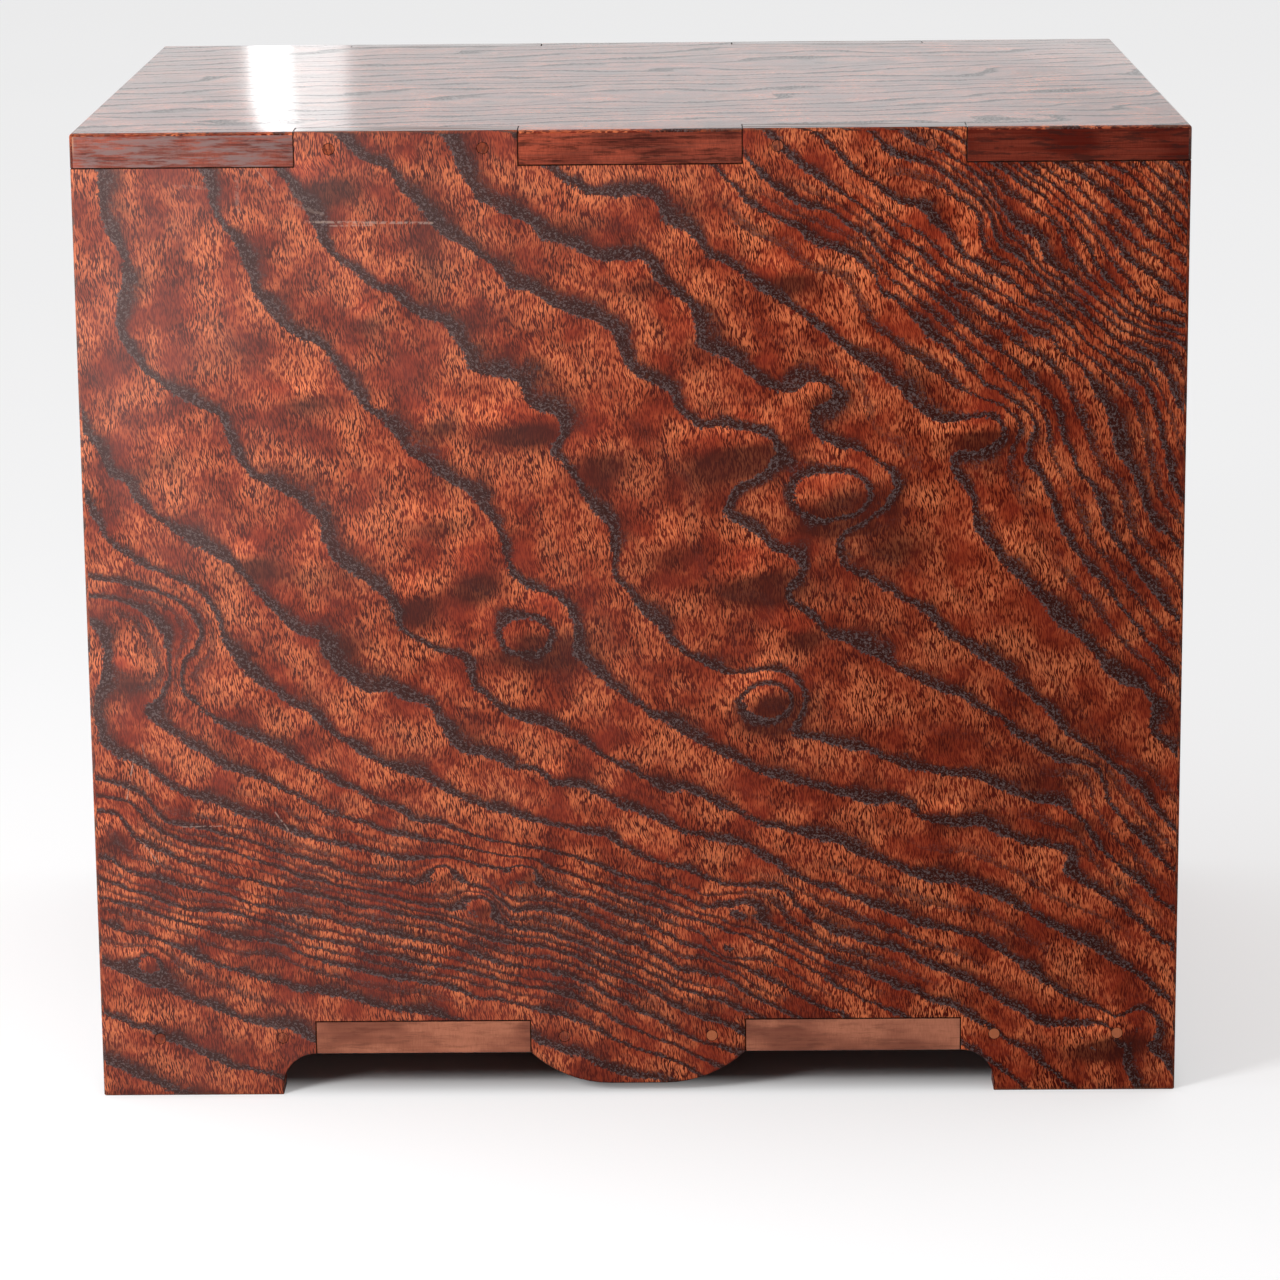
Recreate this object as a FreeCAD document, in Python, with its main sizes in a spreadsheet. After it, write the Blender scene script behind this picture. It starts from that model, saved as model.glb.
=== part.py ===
import FreeCAD, Part
import Sketcher
import math
import os

os.makedirs("parts", exist_ok=True)
doc = FreeCAD.newDocument("small_chest")

# Driving sizes in millimetres, each set by itself
DRIVING_SIZES = {
    # Case: depth runs front to back, and the four joined boards share one thickness
    "case_depth": 303,
    "case_width": 236.5,
    "case_height": 272.8,
    "board": 9.5,
    "arris_round": 1,
    # Underside: the base board's height above the floor, the feet and the lobe between them
    "ground_gap": 12,
    "foot_straight": 2.5,
    "lobe_clearance": 2.8,
    "lobe_flat": 15,
    # Back panel in its rabbet
    "back_thickness": 7,
    "rabbet": 5,
    "back_clearance": 0.3,
    # Rails and shelf boards between the drawers, housed in the side panels
    "rail_thickness": 7,
    "rail_depth": 24,
    "rail_shoulder": 5,
    "housing": 3,
    "shelf_thickness": 5,
    "divider_thickness": 7,
    "divider_housing": 2,
    # Drawer rows: each is this much taller than the row above it
    "row_step": 6,
    # Wooden pegs of the case and of the back
    "peg_diameter": 3,
    "peg_length": 24,
    "peg_inset": 9.5,
    "foot_peg_inset": 16.5,
    "peg_clearance": 0.05,
    "back_peg_diameter": 2,
    "back_peg_length": 16,
    # Drawers and the gaps that they run with
    "drawer_recess": 3,
    "drawer_side_gap": 0.5,
    "drawer_floor_gap": 0.3,
    "drawer_top_gap": 0.8,
    "drawer_back_gap": 0.8,
    "front_thickness": 9,
    "front_lip": 4,
    "front_round": 0.6,
    "drawer_side": 6,
    "drawer_back": 6,
    "drawer_bottom": 4,
    "side_drop": 2,
    "drawer_peg_diameter": 2.2,
    "drawer_peg_length": 16,
    # Ring pulls: a bevelled seat plate, a split pin with its eye, and the ring
    "pull_rise": 6,
    "seat_diameter": 12,
    "seat_thickness": 1,
    "seat_bevel": 0.6,
    "eye_diameter": 5.4,
    "eye_hole": 3,
    "eye_width": 2.2,
    "eye_clearance": 0.1,
    "shank_height": 2.4,
    "pin_clearance": 0.07,
    "clinch_reach": 7,
    "clinch_thickness": 1,
    "ring_diameter": 21,
    "ring_wire": 2.2,
    # How far a cut runs on past the face that it opens
    "overrun": 1,
}

# Places worked out from the driving sizes; y runs from the front edge to the rear edge
LAYOUT = {
    "half_width": "sizes.case_width / 2",
    "half_depth": "sizes.case_depth / 2",
    "inner_half": "half_width - sizes.board",
    "housed_half": "inner_half + sizes.housing",
    "rabbet_half": "inner_half + sizes.rabbet",
    "base_top": "sizes.ground_gap + sizes.board",
    "ceiling": "sizes.case_height - sizes.board",
    # Boundaries of the five fingers, which have equal lengths
    "finger": "sizes.case_depth / 5",
    "front_edge": "-half_depth",
    "finger_line_one": "front_edge + finger",
    "finger_line_two": "finger_line_one + finger",
    "finger_line_three": "finger_line_two + finger",
    "finger_line_four": "finger_line_three + finger",
    "rear_edge": "half_depth",
    # A foot's cove is a quarter circle, and a lobe's side is an arc that leaves its flat tangentially
    "cove_radius": "sizes.ground_gap - sizes.foot_straight",
    "front_foot_inside": "finger_line_one - cove_radius",
    "rear_foot_inside": "finger_line_four + cove_radius",
    "lobe_rise": "sizes.ground_gap - sizes.lobe_clearance",
    "lobe_run": "(finger - sizes.lobe_flat) / 2",
    "lobe_radius": "(lobe_run ^ 2 + lobe_rise ^ 2) / (2 * lobe_rise)",
    # Back panel and the stretch behind each rail
    "back_face": "rear_edge - sizes.back_thickness",
    "rail_rear": "front_edge + sizes.rail_depth",
    "tenon_front": "front_edge + sizes.rail_shoulder",
    # Levels of the rails, from the base up; the four rows share the height that the rails leave
    "clear_height": "ceiling - base_top - 3 * sizes.rail_thickness",
    "top_row": "(clear_height - (1 + 2 + 3) * sizes.row_step) / 4",
    "lower_rail_underside": "base_top + top_row + 3 * sizes.row_step",
    "lower_rail_top": "lower_rail_underside + sizes.rail_thickness",
    "middle_rail_underside": "lower_rail_top + top_row + 2 * sizes.row_step",
    "middle_rail_top": "middle_rail_underside + sizes.rail_thickness",
    "upper_rail_underside": "middle_rail_top + top_row + sizes.row_step",
    "upper_rail_top": "upper_rail_underside + sizes.rail_thickness",
    "divider_half": "sizes.divider_thickness / 2",
    # Rows of pegs through the side panels, at the middle of the top and base boards
    "top_peg_level": "ceiling + sizes.board / 2",
    "base_peg_level": "sizes.ground_gap + sizes.board / 2",
    # Drawers: every one has the same front and rear planes
    "drawer_face": "front_edge + sizes.drawer_recess",
    "drawer_lap": "drawer_face + sizes.front_lip",
    "drawer_front_inside": "drawer_face + sizes.front_thickness",
    "drawer_rear": "back_face - sizes.drawer_back_gap",
    "drawer_back_inside": "drawer_rear - sizes.drawer_back",
    "drawer_peg_line": "(drawer_lap + drawer_front_inside) / 2",
    # Pulls: the eye stands just clear of the seat, and the square holes clear the pin's flat sides
    "eye_reach": "sizes.seat_thickness + sizes.eye_clearance + sizes.eye_diameter / 2",
    "pin_hole_half_width": "sizes.eye_width / 2 + sizes.pin_clearance",
    "pin_hole_half_height": "sizes.shank_height / 2 + sizes.pin_clearance",
}

# Each drawer's opening: its left and right planes, its floor and its ceiling
DRAWER_OPENINGS = {
    "upper_left": ("-inner_half", "-divider_half", "upper_rail_top", "ceiling"),
    "upper_right": ("divider_half", "inner_half", "upper_rail_top", "ceiling"),
    "second": ("-inner_half", "inner_half", "middle_rail_top", "upper_rail_underside"),
    "third": ("-inner_half", "inner_half", "lower_rail_top", "middle_rail_underside"),
    "bottom": ("-inner_half", "inner_half", "base_top", "lower_rail_underside"),
}

RAILS = ("lower", "middle", "upper")

# Where pegs stand, as shares of the length that they hold
BACK_PEG_UPRIGHT_SHARES = (0.12, 0.5, 0.88)
BACK_PEG_ACROSS_SHARES = (0.2, 0.8)
DRAWER_PEG_SHARES = (0.25, 0.75)
# The drawer's rear joint has three fingers, and the back board's is the middle one
REAR_FINGER_SHARES = (1 / 3, 2 / 3)
# Corners of the ring's six-sided wire, as shares of its half thickness
WIRE_CORNER_SHARES = ((1, 0), (0.5, 0.866), (-0.5, 0.866), (-1, 0), (-0.5, -0.866), (0.5, -0.866))

# Pegs are whittled to eight sides, the eye of a pin and the seat plate are forged to twelve and eight
PEG_SIDES = 8
SEAT_SIDES = 8
EYE_SIDES = 12

ALONG_X = FreeCAD.Rotation(FreeCAD.Vector(0, 1, 0), 90)
ALONG_Y = FreeCAD.Rotation(FreeCAD.Vector(1, 0, 0), -90)

sizes = doc.addObject("Spreadsheet::Sheet", "sizes")
layout = doc.addObject("Spreadsheet::Sheet", "layout")
nodes = []


def fill_sheet(sheet, cells, prefix):
    """Writes one cell for each name and gives the cell that name."""
    for row, (name, content) in enumerate(cells.items(), 1):
        sheet.set(f"A{row}", f"{prefix}{content}")
        sheet.setAlias(f"A{row}", name)


def drawer_places(name, opening):
    """The outer planes of a drawer in its opening, and the middle of its pull."""
    left, right, floor, ceiling = opening
    return {
        f"{name}_left": f"{left} + sizes.drawer_side_gap",
        f"{name}_right": f"{right} - sizes.drawer_side_gap",
        f"{name}_floor": f"{floor} + sizes.drawer_floor_gap",
        f"{name}_top": f"{ceiling} - sizes.drawer_top_gap",
        f"{name}_box_floor": f"{name}_floor + sizes.drawer_bottom",
        f"{name}_box_top": f"{name}_top - sizes.side_drop",
        f"{name}_pull_across": f"({name}_left + {name}_right) / 2",
        f"{name}_pull_level": f"({name}_floor + {name}_top) / 2 + sizes.pull_rise",
    }


def value(formula):
    """The number that a formula gives with the sizes as they are."""
    return float(layout.evalExpression(formula))


def share_of(low, high, share):
    """A formula for the plane at a share of the way from one plane to another."""
    return f"({low}) + (({high}) - ({low})) * {share}"


# Features that the pieces are built from

def new_body(label):
    body = doc.addObject("PartDesign::Body", label)
    body.Label = label
    nodes.append(body)
    return body


def block(body, kind, name, across, along, up):
    """A box between two planes along each axis, added to the body or cut from it."""
    feature = body.newObject(f"PartDesign::{kind}Box", name)
    feature.setExpression("Length", f"({across[1]}) - ({across[0]})")
    feature.setExpression("Width", f"({along[1]}) - ({along[0]})")
    feature.setExpression("Height", f"({up[1]}) - ({up[0]})")
    feature.setExpression(".Placement.Base.x", across[0])
    feature.setExpression(".Placement.Base.y", along[0])
    feature.setExpression(".Placement.Base.z", up[0])
    return feature


def sided_bar(body, kind, name, sides, start, direction, radius, length):
    """A bar of equal sides from a start point along an axis, added to the body or cut from it."""
    feature = body.newObject(f"PartDesign::{kind}Prism", name)
    feature.Polygon = sides
    feature.Placement = FreeCAD.Placement(FreeCAD.Vector(0, 0, 0), direction)
    feature.setExpression("Circumradius", radius)
    feature.setExpression("Height", length)
    for axis, place in zip("xyz", start):
        feature.setExpression(f".Placement.Base.{axis}", place)
    return feature


def outline_sketch(body, name, plane_role, offset, corners):
    """A closed outline on one of the body's own planes.

    A corner is its two formulas, followed for an arc by the radius of the edge that leaves it and by
    1 or -1 for an arc that turns left or right on its way round.
    """
    plane = next(item for item in body.Origin.OriginFeatures if item.Role == plane_role)
    sketch = body.newObject("Sketcher::SketchObject", name)
    sketch.AttachmentSupport = [(plane, "")]
    sketch.MapMode = "FlatFace"
    sketch.setExpression(".AttachmentOffset.Base.z", offset)
    points = [FreeCAD.Vector(value(corner[0]), value(corner[1]), 0) for corner in corners]
    for index, corner in enumerate(corners):
        start = points[index]
        end = points[(index + 1) % len(points)]
        if len(corner) == 2:
            sketch.addGeometry(Part.LineSegment(start, end), False)
        else:
            sketch.addGeometry(Part.Arc(start, arc_middle(start, end, corner), end), False)
    arc_ends = {}
    for index, corner in enumerate(corners):
        reverse = len(corner) == 4 and corner[3] < 0
        arc_ends[index] = (2, 1) if reverse else (1, 2)
    for index in range(len(corners)):
        following = (index + 1) % len(corners)
        joined = ("Coincident", index, arc_ends[index][1], following, arc_ends[following][0])
        sketch.addConstraint(Sketcher.Constraint(*joined))
    for index, corner in enumerate(corners):
        for kind, formula in zip(("DistanceX", "DistanceY"), corner[:2]):
            pinned = Sketcher.Constraint(kind, index, arc_ends[index][0], value(formula))
            sketch.setExpression(f"Constraints[{sketch.addConstraint(pinned)}]", formula)
        if len(corner) == 4:
            curved = Sketcher.Constraint("Radius", index, value(corner[2]))
            sketch.setExpression(f"Constraints[{sketch.addConstraint(curved)}]", corner[2])
    return sketch


def arc_middle(start, end, corner):
    """The middle of an arc under a half circle, from its ends, radius and turning side."""
    radius = value(corner[2])
    chord = end - start
    half_chord = chord.Length / 2
    height = radius - math.sqrt(radius ** 2 - half_chord ** 2)
    right_side = FreeCAD.Vector(chord.y, -chord.x, 0).normalize()
    return (start + end) / 2 + right_side * height * corner[3]


def pad(body, sketch, thickness):
    feature = body.newObject("PartDesign::Pad", "Board")
    feature.Profile = sketch
    feature.setExpression("Length", thickness)


def drill(body, name, places, direction, radius, length):
    for count, place in enumerate(places, 1):
        sided_bar(body, "Subtractive", f"{name}_{count}", PEG_SIDES, place, direction, radius, length)


def peg_group(label, places, direction, diameter, length):
    """Whittled wooden pegs, one node of separate solids."""
    pegs = []
    for count, place in enumerate(places, 1):
        peg = doc.addObject("Part::Prism", f"{label}_{count}")
        peg.Polygon = PEG_SIDES
        peg.Placement = FreeCAD.Placement(FreeCAD.Vector(0, 0, 0), direction)
        peg.setExpression("Circumradius", f"{diameter} / 2")
        peg.setExpression("Height", length)
        for axis, coordinate in zip("xyz", place):
            peg.setExpression(f".Placement.Base.{axis}", coordinate)
        pegs.append(peg)
    group = doc.addObject("Part::Compound", label)
    group.Label = label
    group.Links = pegs
    nodes.append(group)


def dress_edges(body, kind, name, edge_names, size_name, size):
    """Rounds or bevels edges of what the body has so far."""
    last = body.Tip
    feature = body.newObject(f"PartDesign::{kind}", name)
    feature.Base = (last, edge_names)
    feature.setExpression(size_name, size)


# Five-piece finger joint: where the boards take turns along each corner of the case

FINGER_LINES = (
    "layout.front_edge",
    "layout.finger_line_one",
    "layout.finger_line_two",
    "layout.finger_line_three",
    "layout.finger_line_four",
    "layout.rear_edge",
)


def comb(first_level, other_level):
    """One long edge of a board, stepped at each finger line, as pairs of place and level."""
    steps = []
    for index in range(len(FINGER_LINES) - 1):
        level = other_level if index % 2 else first_level
        steps.append((FINGER_LINES[index], level))
        steps.append((FINGER_LINES[index + 1], level))
    return steps


def plan_outline(first_half, other_half):
    """A horizontal board's outline, fingered alike along both long edges."""
    right = [(level, place) for place, level in comb(first_half, other_half)]
    left = [(f"-{across}", place) for across, place in reversed(right)]
    return right + left


def side_peg_places(lines, level):
    """Peg starts in both side panels; a peg runs along X and ends flush with the outer face."""
    starts = ("-layout.half_width", "layout.half_width - sizes.peg_length")
    return [(start, line, level) for start in starts for line in lines]


TOP_PEG_PLACES = side_peg_places(
    (
        "layout.finger_line_one + sizes.peg_inset",
        "layout.finger_line_two - sizes.peg_inset",
        "layout.finger_line_three + sizes.peg_inset",
        "layout.finger_line_four - sizes.peg_inset",
    ),
    "layout.top_peg_level",
)
BASE_PEG_PLACES = side_peg_places(
    (
        "layout.front_edge + sizes.foot_peg_inset",
        "layout.finger_line_one - sizes.peg_inset",
        "layout.finger_line_two + sizes.peg_inset",
        "layout.finger_line_three - sizes.peg_inset",
        "layout.finger_line_four + sizes.peg_inset",
        "layout.rear_edge - sizes.foot_peg_inset",
    ),
    "layout.base_peg_level",
)
PEG_HOLE = ("sizes.peg_diameter / 2 + sizes.peg_clearance", "sizes.peg_length")


def back_peg_places():
    """Pegs along the four edges of the back panel, driven in from behind."""
    start = "layout.rear_edge - sizes.back_peg_length"
    edge = "layout.inner_half + sizes.rabbet / 2"
    low = "layout.base_top - sizes.rabbet / 2"
    high = "layout.ceiling + sizes.rabbet / 2"
    places = []
    for share in BACK_PEG_UPRIGHT_SHARES:
        level = share_of("layout.base_top", "layout.ceiling", share)
        places += [(f"-({edge})", start, level), (edge, start, level)]
    for share in BACK_PEG_ACROSS_SHARES:
        across = share_of("-layout.inner_half", "layout.inner_half", share)
        places += [(across, start, low), (across, start, high)]
    return places


BACK_PEG_HOLE = ("sizes.back_peg_diameter / 2 + sizes.peg_clearance", "sizes.back_peg_length")


def back_pegs_in(low_across, high_across, low_level, high_level):
    """The back pegs whose axes pass through one board."""
    spans = ((value(low_across), value(high_across)), (value(low_level), value(high_level)))
    return [
        place
        for place in back_peg_places()
        if spans[0][0] < value(place[0]) < spans[0][1] and spans[1][0] < value(place[2]) < spans[1][1]
    ]


def cut_rabbet(body):
    """The share of the back panel's rabbet that falls in this board."""
    block(
        body,
        "Subtractive",
        "Rabbet",
        ("-layout.rabbet_half", "layout.rabbet_half"),
        ("layout.back_face", "layout.rear_edge + sizes.overrun"),
        ("layout.base_top - sizes.rabbet", "layout.ceiling + sizes.rabbet"),
    )


# Case boards

def make_top_board():
    body = new_body("top_board")
    outline = plan_outline("layout.half_width", "layout.inner_half")
    pad(body, outline_sketch(body, "Plan", "XY_Plane", "layout.ceiling", outline), "sizes.board")
    cut_rabbet(body)
    block(
        body,
        "Subtractive",
        "DividerHousing",
        ("-layout.divider_half", "layout.divider_half"),
        ("layout.tenon_front", "layout.back_face"),
        ("layout.ceiling - sizes.overrun", "layout.ceiling + sizes.divider_housing"),
    )
    drill(body, "PegHole", TOP_PEG_PLACES, ALONG_X, *PEG_HOLE)
    pegs = back_pegs_in("-layout.inner_half", "layout.inner_half", "layout.ceiling", "sizes.case_height")
    drill(body, "BackPegHole", pegs, ALONG_Y, *BACK_PEG_HOLE)


def make_base_board():
    body = new_body("base_board")
    outline = plan_outline("layout.inner_half", "layout.half_width")
    pad(body, outline_sketch(body, "Plan", "XY_Plane", "sizes.ground_gap", outline), "sizes.board")
    cut_rabbet(body)
    drill(body, "PegHole", BASE_PEG_PLACES, ALONG_X, *PEG_HOLE)
    pegs = back_pegs_in("-layout.inner_half", "layout.inner_half", "sizes.ground_gap", "layout.base_top")
    drill(body, "BackPegHole", pegs, ALONG_Y, *BACK_PEG_HOLE)


def side_outline():
    """A side panel seen from outside: two fingers at the top, two feet and the lobe at the floor."""
    floor = [
        ("layout.front_edge", "0"),
        ("layout.front_foot_inside", "0"),
        ("layout.front_foot_inside", "sizes.foot_straight", "layout.cove_radius", -1),
        ("layout.finger_line_one", "sizes.ground_gap"),
        ("layout.finger_line_one", "layout.base_top"),
        ("layout.finger_line_two", "layout.base_top"),
        ("layout.finger_line_two", "sizes.ground_gap", "layout.lobe_radius", 1),
        ("-sizes.lobe_flat / 2", "sizes.lobe_clearance"),
        ("sizes.lobe_flat / 2", "sizes.lobe_clearance", "layout.lobe_radius", 1),
        ("layout.finger_line_three", "sizes.ground_gap"),
        ("layout.finger_line_three", "layout.base_top"),
        ("layout.finger_line_four", "layout.base_top"),
        ("layout.finger_line_four", "sizes.ground_gap", "layout.cove_radius", -1),
        ("layout.rear_foot_inside", "sizes.foot_straight"),
        ("layout.rear_foot_inside", "0"),
        ("layout.rear_edge", "0"),
    ]
    return floor + list(reversed(comb("layout.ceiling", "sizes.case_height")))


def make_side_panel(label, outer_start, inner_face, housed_face):
    """A side panel, from its lower X plane; the housings reach from its inner face into its thickness."""
    body = new_body(label)
    sketch = outline_sketch(body, "Side", "YZ_Plane", outer_start, side_outline())
    pad(body, sketch, "sizes.board")
    cut_rabbet(body)
    housing = sorted((inner_face, housed_face), key=value)
    for rail in RAILS:
        top = f"layout.{rail}_rail_top"
        tenon = ("layout.tenon_front", "layout.rail_rear")
        shelf = ("layout.rail_rear", "layout.back_face")
        rail_levels = (f"layout.{rail}_rail_underside", top)
        shelf_levels = (f"{top} - sizes.shelf_thickness", top)
        block(body, "Subtractive", f"RailHousing_{rail}", housing, tenon, rail_levels)
        block(body, "Subtractive", f"ShelfHousing_{rail}", housing, shelf, shelf_levels)
    far_side = value(outer_start) > 0
    pegs = [
        place
        for place in TOP_PEG_PLACES + BASE_PEG_PLACES
        if (value(place[0]) > 0) == far_side
    ]
    drill(body, "PegHole", pegs, ALONG_X, *PEG_HOLE)
    reach = (outer_start, f"{outer_start} + sizes.board")
    back_pegs = back_pegs_in(*reach, "layout.base_top", "layout.ceiling")
    drill(body, "BackPegHole", back_pegs, ALONG_Y, *BACK_PEG_HOLE)


def make_back_panel():
    body = new_body("back_panel")
    edge = "(layout.rabbet_half - sizes.back_clearance)"
    low = "layout.base_top - sizes.rabbet + sizes.back_clearance"
    high = "layout.ceiling + sizes.rabbet - sizes.back_clearance"
    depth = ("layout.back_face", "layout.rear_edge")
    block(body, "Additive", "Panel", (f"-{edge}", edge), depth, (low, high))
    drill(body, "PegHole", back_peg_places(), ALONG_Y, *BACK_PEG_HOLE)


# Rails, shelf boards and the divider

def make_rail(level):
    body = new_body(f"{level}_rail")
    levels = (f"layout.{level}_rail_underside", f"layout.{level}_rail_top")
    clear = ("-layout.inner_half", "layout.inner_half")
    housed = ("-layout.housed_half", "layout.housed_half")
    block(body, "Additive", "Rail", clear, ("layout.front_edge", "layout.rail_rear"), levels)
    block(body, "Additive", "Tenons", housed, ("layout.tenon_front", "layout.rail_rear"), levels)
    if level == "upper":
        cut_divider_foot(body, ("layout.tenon_front", "layout.rail_rear"))


def make_shelf(level):
    body = new_body(f"{level}_shelf")
    top = f"layout.{level}_rail_top"
    housed = ("-layout.housed_half", "layout.housed_half")
    depth = ("layout.rail_rear", "layout.back_face")
    block(body, "Additive", "Shelf", housed, depth, (f"{top} - sizes.shelf_thickness", top))
    if level == "upper":
        cut_divider_foot(body, depth)


def cut_divider_foot(body, along):
    """The stretch of the divider's lower housing that falls in this piece."""
    block(
        body,
        "Subtractive",
        "DividerHousing",
        ("-layout.divider_half", "layout.divider_half"),
        along,
        ("layout.upper_rail_top - sizes.divider_housing", "layout.upper_rail_top + sizes.overrun"),
    )


def make_divider():
    body = new_body("divider")
    across = ("-layout.divider_half", "layout.divider_half")
    full = ("layout.front_edge", "layout.back_face")
    housed = ("layout.tenon_front", "layout.back_face")
    low = "layout.upper_rail_top"
    high = "layout.ceiling"
    deep = (f"{low} - sizes.divider_housing", f"{high} + sizes.divider_housing")
    block(body, "Additive", "Board", across, full, (low, high))
    block(body, "Additive", "Tongues", across, housed, deep)


# Drawers

def drawer_peg_places(name):
    """Two pegs through each drawer side into the end of the front."""
    starts = (f"layout.{name}_left", f"layout.{name}_right - sizes.drawer_peg_length")
    low = f"layout.{name}_box_floor"
    high = f"layout.{name}_box_top"
    return [
        (start, "layout.drawer_peg_line", share_of(low, high, share))
        for start in starts
        for share in DRAWER_PEG_SHARES
    ]


DRAWER_PEG_HOLE = ("sizes.drawer_peg_diameter / 2 + sizes.peg_clearance", "sizes.drawer_peg_length")


def make_drawer_front(name):
    """A solid front; the sides and the bottom lap into its back."""
    body = new_body(f"{name}_drawer_front")
    left = f"layout.{name}_left"
    right = f"layout.{name}_right"
    floor = f"layout.{name}_floor"
    thickness = ("layout.drawer_face", "layout.drawer_front_inside")
    lap = ("layout.drawer_lap", "layout.drawer_front_inside + sizes.overrun")
    ends = (f"{floor} - sizes.overrun", f"layout.{name}_box_top")
    block(body, "Additive", "Front", (left, right), thickness, (floor, f"layout.{name}_top"))
    left_end = (f"{left} - sizes.overrun", f"{left} + sizes.drawer_side")
    right_end = (f"{right} - sizes.drawer_side", f"{right} + sizes.overrun")
    block(body, "Subtractive", "LeftLap", left_end, lap, ends)
    block(body, "Subtractive", "RightLap", right_end, lap, ends)
    under = (ends[0], f"layout.{name}_box_floor")
    block(body, "Subtractive", "BottomLap", (left, right), lap, under)
    through = ("layout.drawer_face - sizes.overrun", "layout.drawer_front_inside + sizes.overrun")
    cut_pin_hole(body, f"layout.{name}_pull_across", through, f"layout.{name}_pull_level")
    drill(body, "PegHole", drawer_peg_places(name), ALONG_X, *DRAWER_PEG_HOLE)


def cut_pin_hole(body, middle, through, level):
    """A square hole for the pull's pin, as a four-cornered gimlet leaves it."""
    across = (f"{middle} - layout.pin_hole_half_width", f"{middle} + layout.pin_hole_half_width")
    up = (f"{level} - layout.pin_hole_half_height", f"{level} + layout.pin_hole_half_height")
    block(body, "Subtractive", "PinHole", across, through, up)


def make_drawer_side(name, hand):
    body = new_body(f"{name}_drawer_{hand}_side")
    if hand == "left":
        across = (f"layout.{name}_left", f"layout.{name}_left + sizes.drawer_side")
    else:
        across = (f"layout.{name}_right - sizes.drawer_side", f"layout.{name}_right")
    floor = f"layout.{name}_box_floor"
    top = f"layout.{name}_box_top"
    block(body, "Additive", "Side", across, ("layout.drawer_lap", "layout.drawer_rear"), (floor, top))
    wide = (f"{across[0]} - sizes.overrun", f"{across[1]} + sizes.overrun")
    rear = ("layout.drawer_back_inside", "layout.drawer_rear + sizes.overrun")
    block(body, "Subtractive", "FingerNotch", wide, rear, rear_finger(floor, top))
    pegs = drawer_peg_places(name)
    own_pegs = pegs[:len(DRAWER_PEG_SHARES)] if hand == "left" else pegs[len(DRAWER_PEG_SHARES):]
    drill(body, "PegHole", own_pegs, ALONG_X, *DRAWER_PEG_HOLE)


def rear_finger(floor, top):
    return tuple(share_of(floor, top, share) for share in REAR_FINGER_SHARES)


def make_drawer_back(name):
    body = new_body(f"{name}_drawer_back")
    left = f"layout.{name}_left"
    right = f"layout.{name}_right"
    floor = f"layout.{name}_box_floor"
    top = f"layout.{name}_box_top"
    thickness = ("layout.drawer_back_inside", "layout.drawer_rear")
    between = (f"{left} + sizes.drawer_side", f"{right} - sizes.drawer_side")
    block(body, "Additive", "Back", between, thickness, (floor, top))
    block(body, "Additive", "Finger", (left, right), thickness, rear_finger(floor, top))


def make_drawer_bottom(name):
    body = new_body(f"{name}_drawer_bottom")
    across = (f"layout.{name}_left", f"layout.{name}_right")
    depth = ("layout.drawer_lap", "layout.drawer_rear")
    levels = (f"layout.{name}_floor", f"layout.{name}_box_floor")
    block(body, "Additive", "Bottom", across, depth, levels)


# Ring pulls, each built about the middle of its pin on the drawer's face

def place_pull_piece(piece, name, along="layout.drawer_face", level=None):
    piece.setExpression(".Placement.Base.x", f"layout.{name}_pull_across")
    piece.setExpression(".Placement.Base.y", along)
    piece.setExpression(".Placement.Base.z", level or f"layout.{name}_pull_level")


def make_pull_seat(name):
    """An eight-sided plate under the eye; its front edges are bevelled later."""
    body = new_body(f"{name}_pull_seat")
    start = ("0", "-sizes.seat_thickness", "0")
    size = ("sizes.seat_diameter / 2", "sizes.seat_thickness")
    sided_bar(body, "Additive", "Plate", SEAT_SIDES, start, ALONG_Y, *size)
    cut_pin_hole(body, "0", ("-sizes.seat_thickness - sizes.overrun", "sizes.overrun"), "0")
    place_pull_piece(body, name)


def make_pull_pin(name):
    """A split pin: an eye for the ring, a shank through the front and legs clinched behind it."""
    body = new_body(f"{name}_pull_pin")
    half_width = "sizes.eye_width / 2"
    across = (f"-{half_width}", half_width)
    half_height = "sizes.shank_height / 2"
    rear = "sizes.front_thickness + sizes.clinch_thickness"
    eye = (f"-{half_width}", "-layout.eye_reach", "0")
    hole = (f"-{half_width} - sizes.overrun", "-layout.eye_reach", "0")
    hole_size = ("sizes.eye_hole / 2", "sizes.eye_width + 2 * sizes.overrun")
    size = ("sizes.eye_diameter / 2", "sizes.eye_width")
    sided_bar(body, "Additive", "Eye", EYE_SIDES, eye, ALONG_X, *size)
    block(body, "Additive", "Shank", across, ("-layout.eye_reach", rear), (f"-{half_height}", half_height))
    legs = ("-sizes.clinch_reach", "sizes.clinch_reach")
    block(body, "Additive", "Legs", across, ("sizes.front_thickness", rear), legs)
    sided_bar(body, "Subtractive", "EyeHole", EYE_SIDES, hole, ALONG_X, *hole_size)
    place_pull_piece(body, name)


def make_pull_ring(name):
    """A closed ring of six-sided wire, turned about its own middle and hung in the eye."""
    body = new_body(f"{name}_pull_ring")
    section = [
        (f"sizes.ring_diameter / 2 + sizes.ring_wire / 2 * {out}", f"sizes.ring_wire / 2 * {along}")
        for out, along in WIRE_CORNER_SHARES
    ]
    sketch = outline_sketch(body, "WireSection", "XY_Plane", "0", section)
    turned = body.newObject("PartDesign::Revolution", "Ring")
    turned.Profile = sketch
    turned.ReferenceAxis = (sketch, ["V_Axis"])
    turned.Angle = 360
    hanging = f"layout.{name}_pull_level - sizes.ring_diameter / 2"
    place_pull_piece(body, name, "layout.drawer_face - layout.eye_reach", hanging)


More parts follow.
